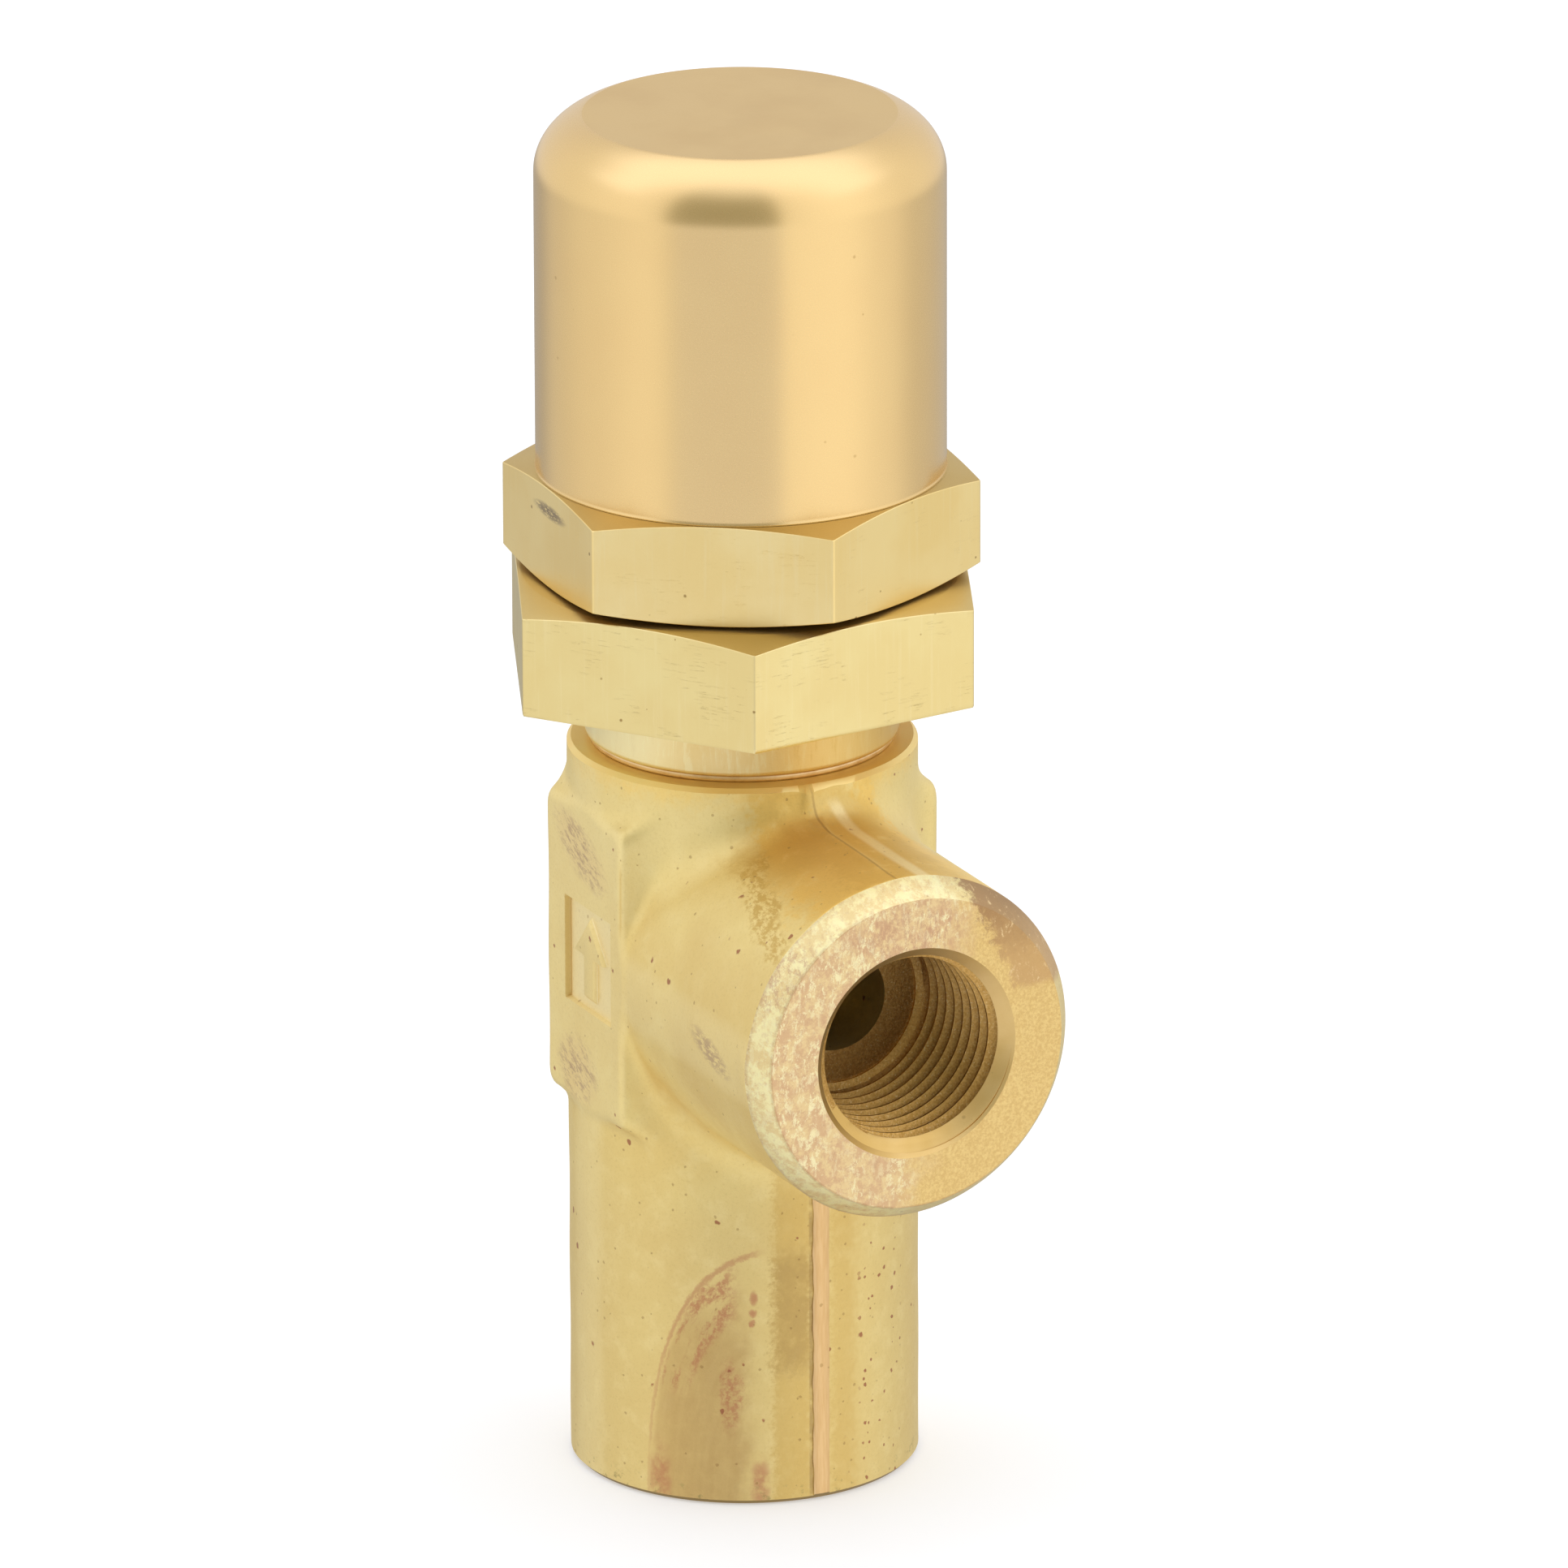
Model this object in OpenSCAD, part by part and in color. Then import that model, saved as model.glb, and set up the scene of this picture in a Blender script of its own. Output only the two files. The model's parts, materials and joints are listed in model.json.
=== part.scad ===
// Spring-loaded pressure relief valve, made as an assembly of loose pieces.
// The origin is the centre of the inlet face at the body's foot. +Z runs up the valve's axis
// to the cap, and +X points out of the side outlet. Lengths are in millimetres.
// Threads are plain cylinders: a male thread has its major diameter, and its hole is just wider.

/* [Body] */
// Diameter of the round body
body_d = 34.9; // [34.5:0.1:35]
// Height of the body's top face above the inlet face
body_h = 75.2; // [75:0.1:75.4]
// Height of the outlet's axis above the inlet face
outlet_z = 53.8; // [53:0.1:54.5]
// Distance of the outlet face from the valve's axis
outlet_reach = 38.5; // [38:0.1:40]
// Diameter of the outlet boss
boss_d = 35.1; // [35:0.1:35.4]
// Length of the chamfer round the outlet boss
boss_chamfer = 2.4; // [1.5:0.1:2.8]
// Distance of a wrench pad's face from the valve's axis
pad_reach = 17.6; // [17.5:0.05:17.9]
// Width of a wrench pad
pad_w = 16; // [14:0.5:17]
// Height of a wrench pad along the body
pad_h = 30.6; // [28:0.1:31]

/* [Ports] */
// Inner diameter of the half-inch taper pipe thread in both ports
port_d = 18.4; // [18:0.1:18.8]
// Depth of both threaded ports
port_depth = 17.4; // [16:0.1:18]
// Diameter of the countersink at each port's mouth
port_mouth_d = 21.6; // [21:0.1:22]
// Diameter of the passages behind the ports
passage_d = 10.4; // [9:0.1:11]

/* [Bonnet] */
// Diameter of the bonnet's neck above the body
neck_d = 31.2; // [30:0.1:32]
// Width of the bonnet's hexagon across its flats
bonnet_hex = 44.45; // [43:0.05:45]
// Turn of the bonnet's hexagon about the valve's axis, in degrees
bonnet_turn = -23.3; // [-30:0.1:30]
// Diameter of the bore that holds the main spring
spring_bore_d = 19; // [18.5:0.1:19.2]
// Diameter of the thread that the cap screws onto
cap_thread_d = 31.6; // [31:0.1:31.8]

/* [Cap] */
// Width of the cap's hexagon across its flats
cap_hex = 41.25; // [40.9:0.05:42]
// Turn of the cap's hexagon about the valve's axis, in degrees
cap_turn = -3.9; // [-30:0.1:30]
// Diameter of the cap above its hexagon
cap_d = 40.6; // [40:0.1:40.8]
// Height of the cap's top above the inlet face
cap_top = 139.4; // [139:0.1:141]
// Radius of the cap's rounded shoulder
cap_shoulder = 4.8; // [3:0.1:6]

/* [Working parts] */
// Diameter of the adjusting screw's thread
screw_d = 12.7; // [12:0.1:13]
// Width of the locknut across its flats
nut_hex = 19; // [18:0.1:20]
// Thickness of the spring's wire
wire_d = 2.2; // [1.8:0.1:2.4]
// Mean diameter of the spring's coils
coil_d = 15.2; // [14.8:0.1:15.6]
// Number of coils in the spring
coils = 7; // [6:1:8]

/* [Hidden] */
$fn = 96;

slip = 0.05;                             // radial clearance of a thread or a sliding fit
overcut = 1;                             // how far a cut runs past the face it opens
foot_break = 0.7;                        // edge break round the body's foot
top_break = 0.4;                         // edge break round the body's top

pad_slope = 1.2;                         // rise of a pad's sloping ends
pad_z = 39.2;                            // lower end of a wrench pad
panel = [9.8, 10.3];                     // width and height of the sunk panel on the front pad
panel_at = [1, 54.4];                    // centre of the sunk panel along X and Z
panel_depth = 0.5;

seat_z = 40;                             // the seat's sealing edge
seat_lip_h = 2;
seat_d = 14;                             // outside of the raised seat
chamber_d = 24;                          // flow chamber round the piston's stem
chamber_top = 61;
body_thread_d = 26.1;                    // thread in the body for the bonnet

gasket_t = 0.7;                          // bonnet gasket on the body's top face
bonnet_z = 62.2;                         // lower end of the bonnet's thread
neck_z = body_h + gasket_t;
hex_z = 81.8;                            // underside of the bonnet's hexagon
hex_top = 92.8;
cap_thread_top = 102.4;
tower_d = 25;                            // tower that carries the adjusting screw
tower_top = 114;
lead_in = 1;                             // chamfer at the start of each outside thread
spring_bore_top = 105.5;
hex_chamfer = 15;                        // slope of the hexagons' chamfers, in degrees

cap_z = 93.05;                           // underside of the cap
cap_hex_top = 103.4;                     // where the hexagon's chamfer meets the round of the cap
cap_cavity_d = 32.8;
cap_cavity_top = 134.5;
cap_thread_relief = 102.8;
cap_mouth_depth = 1.4;                   // recess for the cap gasket
cap_mouth_d = 37.2;

guide_z = 62.6;                          // lower face of the piston's guide
guide_top = 70;
spigot_h = 3.5;
holder_z = 40.8;                         // lower edge of the piston's disc holder
holder_top = 46;
holder_d = 16.4;
stem_d = 9;
disc_t = 2.5;
disc_d = 15;
disc_z = seat_z + slip;
disc_screw_d = 4;
disc_screw_head = [6.8, 1.8];            // diameter and height
disc_screw_top = 48;

button_z = 99.5;                         // where the spring meets the spring button
button_t = 4;
button_cup = [8.1, 2];                   // diameter and depth of the cup for the screw's nose
spigot_d = 10;

nose_gap = 0.1;                          // end play of the screw's nose in the cup
screw_z = 104;
screw_top = 131;
slot = [1.8, 3];                         // width and depth of the screwdriver slot
washer_z = tower_top + slip;
washer_t = 1.5;
washer_d = 21;
nut_z = washer_z + washer_t + slip;
nut_t = 7.9;

spring_z = guide_top + slip;
spring_h = button_z - guide_top - 2 * slip;
steps_per_coil = 24;
wire_sides = 8;

// A hexagonal prism with its corners turned off by a cone above, and below where low is true.
module chamfered_hex(across, z0, z1, turn, low = false) {
    corner_r = across / 2 / cos(30);
    drop = (corner_r - across / 2) * tan(hex_chamfer);
    foot = low ? drop : 0;
    intersection() {
        translate([0, 0, z0])
            rotate([0, 0, turn])
                cylinder(r = corner_r, h = z1 - z0, $fn = 6);
        rotate_extrude()
            polygon([[0, z0], [across / 2, z0], [corner_r + 0.1, z0 + foot],
                [corner_r + 0.1, z1 - drop], [across / 2, z1], [0, z1]]);
    }
}

// A threaded port with its countersunk mouth at z = 0, cut downwards.
module port_cut() {
    cone = (port_mouth_d - port_d) / 2;
    translate([0, 0, -port_depth])
        cylinder(d = port_d, h = port_depth + overcut);
    translate([0, 0, -cone])
        cylinder(d1 = port_d, d2 = port_mouth_d, h = cone);
    cylinder(d = port_mouth_d, h = overcut);
}

// A wrench pad on the +Y side, with sloping ends.
module pad() {
    rise = pad_reach - pad_slope;
    translate([-pad_w / 2, 0, 0])
        rotate([90, 0, 90])
            linear_extrude(pad_w)
                polygon([[0, pad_z], [rise, pad_z], [pad_reach, pad_z + pad_slope],
                    [pad_reach, pad_z + pad_h - pad_slope], [rise, pad_z + pad_h],
                    [0, pad_z + pad_h]]);
}

module body_outside() {
    r = body_d / 2;
    rotate_extrude()
        polygon([[0, 0], [r - foot_break, 0], [r, foot_break], [r, body_h - top_break],
            [r - top_break, body_h], [0, body_h]]);
    translate([0, 0, outlet_z])
        rotate([0, 90, 0])
            rotate_extrude()
                polygon([[0, 0], [boss_d / 2, 0], [boss_d / 2, outlet_reach - boss_chamfer],
                    [boss_d / 2 - boss_chamfer * tan(35), outlet_reach], [0, outlet_reach]]);
    pad();
    mirror([0, 1, 0])
        pad();
}

module body() {
    color("goldenrod")
        difference() {
            body_outside();
            mirror([0, 0, 1])
                port_cut();
            cylinder(d = passage_d, h = seat_z + overcut);
            difference() {
                translate([0, 0, seat_z - seat_lip_h])
                    cylinder(d = chamber_d, h = chamber_top - seat_z + seat_lip_h);
                translate([0, 0, seat_z - seat_lip_h - overcut])
                    cylinder(d = seat_d, h = seat_lip_h + overcut);
            }
            translate([0, 0, chamber_top - overcut])
                cylinder(d = body_thread_d, h = body_h - chamber_top + 2 * overcut);
            translate([outlet_reach, 0, outlet_z])
                rotate([0, 90, 0])
                    port_cut();
            translate([0, 0, outlet_z])
                rotate([0, 90, 0])
                    cylinder(d = passage_d, h = outlet_reach);
            translate([panel_at[0] - panel[0] / 2, -pad_reach - overcut, panel_at[1] - panel[1] / 2])
                cube([panel[0], panel_depth + overcut, panel[1]]);
        }
}

module valve_piston() {
    guide_r = spring_bore_d / 2 - slip;
    color("khaki")
        difference() {
            rotate_extrude()
                polygon([[0, holder_z], [holder_d / 2, holder_z], [holder_d / 2, holder_top - 1.5],
                    [stem_d / 2, holder_top + 2], [stem_d / 2, guide_z - 2],
                    [guide_r - 2, guide_z], [guide_r, guide_z], [guide_r, guide_top],
                    [spigot_d / 2, guide_top], [spigot_d / 2, guide_top + spigot_h],
                    [0, guide_top + spigot_h]]);
            translate([0, 0, holder_z - overcut])
                cylinder(d = disc_d + 2 * slip, h = disc_z + disc_t + slip - holder_z + overcut);
            translate([0, 0, holder_z])
                cylinder(d = disc_screw_d + 2 * slip, h = disc_screw_top + 1 - holder_z);
        }
}

module seat_disc() {
    color("ivory")
        translate([0, 0, disc_z])
            difference() {
                cylinder(d = disc_d, h = disc_t);
                translate([0, 0, -overcut])
                    cylinder(d = disc_screw_d + 2 * slip, h = disc_t + 2 * overcut);
            }
}

module disc_screw() {
    head_z = disc_z - slip - disc_screw_head[1];
    color("silver")
        difference() {
            union() {
                translate([0, 0, head_z])
                    cylinder(d = disc_screw_head[0], h = disc_screw_head[1]);
                translate([0, 0, head_z])
                    cylinder(d = disc_screw_d, h = disc_screw_top - head_z);
            }
            translate([-disc_screw_head[0], -0.5, head_z - overcut])
                cube([2 * disc_screw_head[0], 1, overcut + 0.8]);
        }
}

// One ring of the spring's wire, at a share of the way along the coils.
function spring_ring(share) =
    let (turn = 360 * coils * share,
        lift = min(1, max(0, (share * coils - 1) / (coils - 2))),
        closed = wire_d / 2 + wire_d * 1.02 * min(1, share * coils),
        last = wire_d * 1.02 * max(0, share * coils - coils + 1),
        z = spring_z + closed + last + lift * (spring_h - wire_d * 3.04))
    [for (k = [0:wire_sides - 1])
        let (a = 360 * k / wire_sides, r = coil_d / 2 + wire_d / 2 * cos(a))
        [r * cos(turn), r * sin(turn), z + wire_d / 2 * sin(a)]];

module main_spring() {
    n = coils * steps_per_coil;
    points = [for (i = [0:n]) each spring_ring(i / n)];
    sides = [for (i = [0:n - 1]) for (k = [0:wire_sides - 1])
        let (a = i * wire_sides + k, b = i * wire_sides + (k + 1) % wire_sides)
        [a, a + wire_sides, b + wire_sides, b]];
    ends = [[for (k = [0:wire_sides - 1]) k],
        [for (k = [wire_sides - 1:-1:0]) n * wire_sides + k]];
    color("lightsteelblue")
        polyhedron(points, concat(sides, ends), convexity = 10);
}

module spring_button() {
    r = spring_bore_d / 2 - 0.3;
    color("silver")
        translate([0, 0, button_z])
            difference() {
                union() {
                    cylinder(r = r, h = button_t);
                    translate([0, 0, -spigot_h])
                        cylinder(d = spigot_d, h = spigot_h + overcut);
                }
                translate([0, 0, button_t - button_cup[1]])
                    cylinder(d = button_cup[0], h = button_cup[1] + overcut);
            }
}

module bonnet_gasket() {
    color("peru")
        translate([0, 0, body_h])
            difference() {
                cylinder(d = neck_d, h = gasket_t);
                translate([0, 0, -overcut])
                    cylinder(d = body_thread_d + 0.4, h = gasket_t + 2 * overcut);
            }
}

module bonnet() {
    thread_r = body_thread_d / 2 - slip;
    cap_thread_r = cap_thread_d / 2;
    tower_r = tower_d / 2;
    color("darkkhaki")
        difference() {
            union() {
                rotate_extrude()
                    polygon([[0, bonnet_z], [thread_r - lead_in, bonnet_z],
                        [thread_r, bonnet_z + lead_in], [thread_r, neck_z], [neck_d / 2, neck_z],
                        [neck_d / 2, hex_z + 1], [cap_thread_r, hex_top - 1],
                        [cap_thread_r, cap_thread_top - lead_in],
                        [cap_thread_r - lead_in, cap_thread_top], [tower_r, cap_thread_top],
                        [tower_r, tower_top - lead_in], [tower_r - lead_in, tower_top],
                        [0, tower_top]]);
                chamfered_hex(bonnet_hex, hex_z, hex_top, bonnet_turn);
            }
            translate([0, 0, bonnet_z - overcut])
                cylinder(d = spring_bore_d, h = spring_bore_top - bonnet_z + overcut);
            translate([0, 0, bonnet_z])
                cylinder(d = screw_d + 2 * slip, h = tower_top - bonnet_z + overcut);
        }
}

module adjusting_screw() {
    nose_z = button_z + button_t - button_cup[1] + nose_gap;
    color("gainsboro")
        difference() {
            union() {
                translate([0, 0, nose_z])
                    cylinder(d = button_cup[0] - 2 * slip, h = screw_z - nose_z);
                translate([0, 0, screw_z])
                    cylinder(d = screw_d, h = screw_top - screw_z - lead_in);
                translate([0, 0, screw_top - lead_in])
                    cylinder(d1 = screw_d, d2 = screw_d - 2 * lead_in, h = lead_in);
            }
            translate([-screw_d, -slot[0] / 2, screw_top - slot[1]])
                cube([2 * screw_d, slot[0], slot[1] + overcut]);
        }
}

module locknut_washer() {
    color("sienna")
        translate([0, 0, washer_z])
            difference() {
                cylinder(d = washer_d, h = washer_t);
                translate([0, 0, -overcut])
                    cylinder(d = screw_d + 0.6, h = washer_t + 2 * overcut);
            }
}

module locknut() {
    color("khaki")
        difference() {
            chamfered_hex(nut_hex, nut_z, nut_z + nut_t, 15, low = true);
            translate([0, 0, nut_z - overcut])
                cylinder(d = screw_d + 2 * slip, h = nut_t + 2 * overcut);
        }
}

module cap_gasket() {
    color("dimgray")
        translate([0, 0, hex_top + slip])
            difference() {
                cylinder(d = cap_mouth_d - 0.6, h = cap_z + cap_mouth_depth - hex_top - 2 * slip);
                translate([0, 0, -overcut])
                    cylinder(d = cap_thread_d + 0.8, h = cap_mouth_depth + 3 * overcut);
            }
}

module cap() {
    r = cap_d / 2;
    color("gold")
        difference() {
            union() {
                chamfered_hex(cap_hex, cap_z, cap_hex_top, cap_turn, low = true);
                rotate_extrude() {
                    translate([0, cap_z])
                        square([r - 1, cap_top - cap_z]);
                    translate([0, cap_hex_top - 1])
                        square([r, cap_top - cap_shoulder - cap_hex_top + 1]);
                    translate([0, cap_top - cap_shoulder - 1])
                        square([r - cap_shoulder, cap_shoulder + 1]);
                    translate([r - cap_shoulder, cap_top - cap_shoulder])
                        intersection() {
                            circle(r = cap_shoulder);
                            square(cap_shoulder);
                        }
                }
            }
            translate([0, 0, cap_z - overcut])
                cylinder(d = cap_mouth_d, h = cap_mouth_depth + overcut);
            translate([0, 0, cap_z - overcut])
                cylinder(d = cap_thread_d + 2 * slip, h = cap_thread_relief - cap_z + overcut);
            translate([0, 0, cap_thread_relief - slip])
                cylinder(d = cap_cavity_d, h = cap_cavity_top - cap_thread_relief);
        }
}

body();
valve_piston();
seat_disc();
disc_screw();
main_spring();
spring_button();
bonnet_gasket();
bonnet();
adjusting_screw();
locknut_washer();
locknut();
cap_gasket();
cap();
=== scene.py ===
import json
import math

import bmesh
import bpy
import numpy as np
from mathutils import Matrix, Vector


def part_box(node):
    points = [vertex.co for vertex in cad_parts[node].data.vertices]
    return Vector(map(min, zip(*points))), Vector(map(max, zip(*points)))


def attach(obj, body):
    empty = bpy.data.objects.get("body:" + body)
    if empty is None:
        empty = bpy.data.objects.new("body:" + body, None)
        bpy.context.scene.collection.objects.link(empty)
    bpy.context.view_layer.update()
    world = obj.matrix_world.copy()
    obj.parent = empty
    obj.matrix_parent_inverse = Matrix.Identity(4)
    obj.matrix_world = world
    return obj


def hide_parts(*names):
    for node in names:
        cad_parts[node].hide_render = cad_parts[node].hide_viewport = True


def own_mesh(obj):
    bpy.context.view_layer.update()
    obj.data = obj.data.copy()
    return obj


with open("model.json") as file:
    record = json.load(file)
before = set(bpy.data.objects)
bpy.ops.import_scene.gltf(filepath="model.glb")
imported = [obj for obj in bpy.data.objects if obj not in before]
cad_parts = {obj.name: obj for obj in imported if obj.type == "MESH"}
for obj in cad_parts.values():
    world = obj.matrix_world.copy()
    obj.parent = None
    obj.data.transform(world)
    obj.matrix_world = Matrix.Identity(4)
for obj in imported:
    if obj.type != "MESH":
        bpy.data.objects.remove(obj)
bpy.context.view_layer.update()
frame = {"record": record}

# Looks of a brass pressure relief valve. Lengths are millimetres unless a name says otherwise, and
# meshes are scaled to metres as they are made. +Z runs up the valve's axis, +X out of the outlet.

MM = 0.001
TURN = 2 * math.pi


def low(node):
    """Lowest corner of a CAD node in millimetres."""
    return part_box(node)[0] / MM


def high(node):
    """Highest corner of a CAD node in millimetres."""
    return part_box(node)[1] / MM


def span(node):
    """Heights of a CAD node's lower and upper end."""
    return low(node).z, high(node).z


# ---------------------------------------------------------------- sizes taken from the frame
BODY_R = -low("body").x
BODY_TOP = high("body").z
OUTLET_X = high("body").x
PAD_Y = high("body").y
CAP_Z, CAP_TOP = span("cap")
BONNET_Z, TOWER_TOP = span("bonnet")
SCREW_NOSE, SCREW_TOP = span("adjusting_screw")
NUT_Z, NUT_TOP = span("locknut")
OUTLET_Z = next(m for m in frame["record"]["mounts"] if m["name"] == "outlet_port")["pos_m"][2] / MM

# ---------------------------------------------------------------- sizes shared with the CAD's design
BOSS_R = 17.55
END_FLAT_R, END_CHAMFER = BOSS_R - 1.68, 2.4
PORT_R = 9.2
PORT_DEPTH = 17.4
PORT_MOUTH_R = 10.8
PASSAGE_R = 5.2
PIPE_PITCH = 25.4 / 14
SEAT_Z = 40.0
CHAMBER_R, CHAMBER_TOP = 12.0, 61.0
BODY_THREAD_R = 13.05
NECK_R, NECK_Z = 15.6, BODY_TOP + 0.7
HEX_Z, HEX_TOP = 81.65, 92.8
BONNET_HEX, BONNET_TURN = 44.45, -23.3
CAP_HEX, CAP_TURN = 41.25, -3.9
CAP_HEX_TOP = 103.4
CAP_R, CAP_SHOULDER = 20.3, 4.8
CAP_THREAD_R, CAP_THREAD_TOP = 15.8, 102.4
CAP_CAVITY_R, CAP_CAVITY_TOP = 16.4, 134.5
TOWER_R = 12.5
SPRING_BORE_R, SPRING_BORE_TOP = 9.5, 105.5
SCREW_R = 6.35
FINE_PITCH, CAP_PITCH = 1.27, 25.4 / 12
HEX_SLOPE = math.tan(math.radians(15))
NUT_HEX, NUT_TURN = 19.0, 15.0

# ---------------------------------------------------------------- the photo's point of view
CAMERA_AZIMUTH, CAMERA_ELEVATION, CAMERA_ROLL = 63.71, 19.0, -0.168
CAMERA_TARGET, CAMERA_DISTANCE = (1.83, 3.71, 69.82), 1922.85
CAMERA_LENS, CAMERA_SENSOR = 445.2, 36


# ---------------------------------------------------------------- mesh helpers
def new_object(name, mesh):
    obj = bpy.data.objects.new(name, mesh)
    bpy.context.scene.collection.objects.link(obj)
    return obj


def mesh_object(name, points, faces, merge=0.0005):
    """A closed mesh object from points in millimetres. Points closer than merge become one."""
    bm = bmesh.new()
    verts = [bm.verts.new(Vector(p) * MM) for p in points]
    for face in faces:
        bm.faces.new([verts[i] for i in face])
    bmesh.ops.remove_doubles(bm, verts=bm.verts, dist=merge * MM)
    bmesh.ops.dissolve_degenerate(bm, edges=bm.edges, dist=1e-8)
    bmesh.ops.delete(bm, geom=[e for e in bm.edges if e.is_wire], context="EDGES")
    bmesh.ops.recalc_face_normals(bm, faces=bm.faces)
    mesh = bpy.data.meshes.new(name)
    bm.to_mesh(mesh)
    bm.free()
    return new_object(name, mesh)


def rounded(corners, segments=4, support=0.06):
    """A profile through (r, z, radius) corners, each rounded with an arc between two support points."""
    out = []
    for i, (r, z, radius) in enumerate(corners):
        here = np.array([r, z], float)
        if radius <= 0 or i in (0, len(corners) - 1):
            out.append(here)
            continue
        before, after = np.array(corners[i - 1][:2], float), np.array(corners[i + 1][:2], float)
        a, b = before - here, after - here
        la, lb = np.linalg.norm(a), np.linalg.norm(b)
        a, b = a / la, b / lb
        half = math.acos(np.clip(a @ b, -1, 1)) / 2
        reach = min(radius / math.tan(half), 0.49 * la, 0.49 * lb)
        size = reach * math.tan(half)
        centre = here + (a + b) / np.linalg.norm(a + b) * size / math.sin(half)
        start, end = here + a * reach - centre, here + b * reach - centre
        if la > reach + 3 * support:
            out.append(here + a * (reach + support))
        for k in range(segments + 1):
            t = k / segments
            spread = math.pi - 2 * half
            mixed = (start * math.sin((1 - t) * spread) + end * math.sin(t * spread)) / math.sin(spread)
            out.append(centre + mixed)
        if lb > reach + 3 * support:
            out.append(here + b * (reach + support))
    return [(p[0], p[1]) for p in out]


def spin(name, rows, columns=144, angles=None, frame_turn=None):
    """A closed solid turned about Z. A row is a radius and a height, as numbers or one value per angle."""
    theta = np.linspace(0, TURN, columns + 1) if angles is None else angles
    grid = np.zeros((len(rows), len(theta), 3))
    for k, (r, z) in enumerate(rows):
        radius = np.broadcast_to(r, theta.shape)
        grid[k] = np.stack([radius * np.cos(theta), radius * np.sin(theta),
            np.broadcast_to(z, theta.shape)], -1)
    if frame_turn is not None:
        grid = grid @ np.array(frame_turn).T
    n = len(theta)
    faces = [(k * n + i, k * n + i + 1, (k + 1) * n + i + 1, (k + 1) * n + i) for k in range(len(rows) - 1)
        for i in range(n - 1)]
    return mesh_object(name, grid.reshape(-1, 3), faces)


def vee(phase, flat=0.12):
    """Depth of a V thread, from 0 on the crest to 1 at the root, over one pitch."""
    t = np.abs((np.asarray(phase) + 0.5) % 1 - 0.5) * 2
    return np.clip((t - flat) / (1 - 2 * flat), 0, 1)


THREAD_STEPS = (0.0, 0.06, 0.25, 0.44, 0.56, 0.75, 0.94)


def even_columns(columns=144):
    return np.linspace(0, TURN, columns + 1)


def thread_rows(z0, z1, pitch, radius_at, theta):
    """Rows of a right-handed thread from z0 up to z1, with the surface's radius from radius_at(phase, z)."""
    rise = pitch * theta / TURN
    turns = int(math.ceil((z1 - z0) / pitch)) + 1
    rows = []
    for k in range(-1, turns):
        for step in THREAD_STEPS:
            z = np.clip(z0 + pitch * (k + step) + rise, z0, z1)
            phase = (z - z0 - rise) / pitch
            rows.append((radius_at(phase, z), z))
    return rows


def male_thread(z0, z1, pitch, crest, depth, theta, lead=None):
    """Rows of an outside thread whose ends run down to its root."""
    lead = depth if lead is None else lead
    root = crest - lead

    def radius(phase, z):
        ends = np.minimum(z - z0, z1 - z)
        return np.minimum(crest - depth * vee(phase), root + ends)

    return [(root, z0)] + thread_rows(z0, z1, pitch, radius, theta) + [(root, z1)]


def box_tool(name, size, centre):
    bm = bmesh.new()
    bmesh.ops.create_cube(bm, size=1)
    bmesh.ops.scale(bm, verts=bm.verts, vec=[v * MM for v in size])
    bmesh.ops.translate(bm, verts=bm.verts, vec=[v * MM for v in centre])
    mesh = bpy.data.meshes.new(name)
    bm.to_mesh(mesh)
    bm.free()
    return new_object(name, mesh)


def boolean(target, tool, operation="DIFFERENCE"):
    """Cuts or joins a tool mesh and removes the tool."""
    mod = target.modifiers.new("cut", "BOOLEAN")
    mod.operation = operation
    mod.object = tool
    mod.solver = "MANIFOLD"
    bpy.context.view_layer.update()
    graph = bpy.context.evaluated_depsgraph_get()
    mesh = bpy.data.meshes.new_from_object(target.evaluated_get(graph))
    target.modifiers.clear()
    old = target.data
    target.data = mesh
    bpy.data.meshes.remove(old)
    bpy.data.objects.remove(tool)
    return target


def smooth(obj, degrees=32):
    mesh = obj.data
    mesh.polygons.foreach_set("use_smooth", [True] * len(mesh.polygons))
    mesh.set_sharp_from_angle(angle=math.radians(degrees))
    return obj


def paint(obj, materials, choose):
    """Gives every face the material that choose(centres, normals) numbers, both in millimetres."""
    mesh = obj.data
    mesh.materials.clear()
    for m in materials:
        mesh.materials.append(m)
    n = len(mesh.polygons)
    centre, normal = np.zeros(n * 3), np.zeros(n * 3)
    mesh.polygons.foreach_get("center", centre)
    mesh.polygons.foreach_get("normal", normal)
    index = choose(centre.reshape(-1, 3) / MM, normal.reshape(-1, 3))
    mesh.polygons.foreach_set("material_index", np.asarray(index, np.int32))
    mesh.update()
    return obj


ALONG_X = Matrix.Rotation(math.pi / 2, 3, "Y")      # turns a +Z axis onto +X


def exact_turn(matrix):
    return np.round(np.array(matrix), 12)


# ---------------------------------------------------------------- the forged body
def soft_min(a, b, k):
    """The smaller of two distances, blended by a fillet where they are within k of each other."""
    h = np.clip(k - np.abs(a - b), 0, None) / k
    return np.minimum(a, b) - h * h * k / 4


def soft_max(a, b, k):
    return -soft_min(-a, -b, k)


FILLET = 3.6                        # root of the outlet boss
PAD_X, PAD_LOW, PAD_HIGH = 8.35, 38.95, 69.6
SEAM_Y = -1.0                       # where the two forging dies met


def bump(t):
    return np.exp(-t * t)


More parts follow.
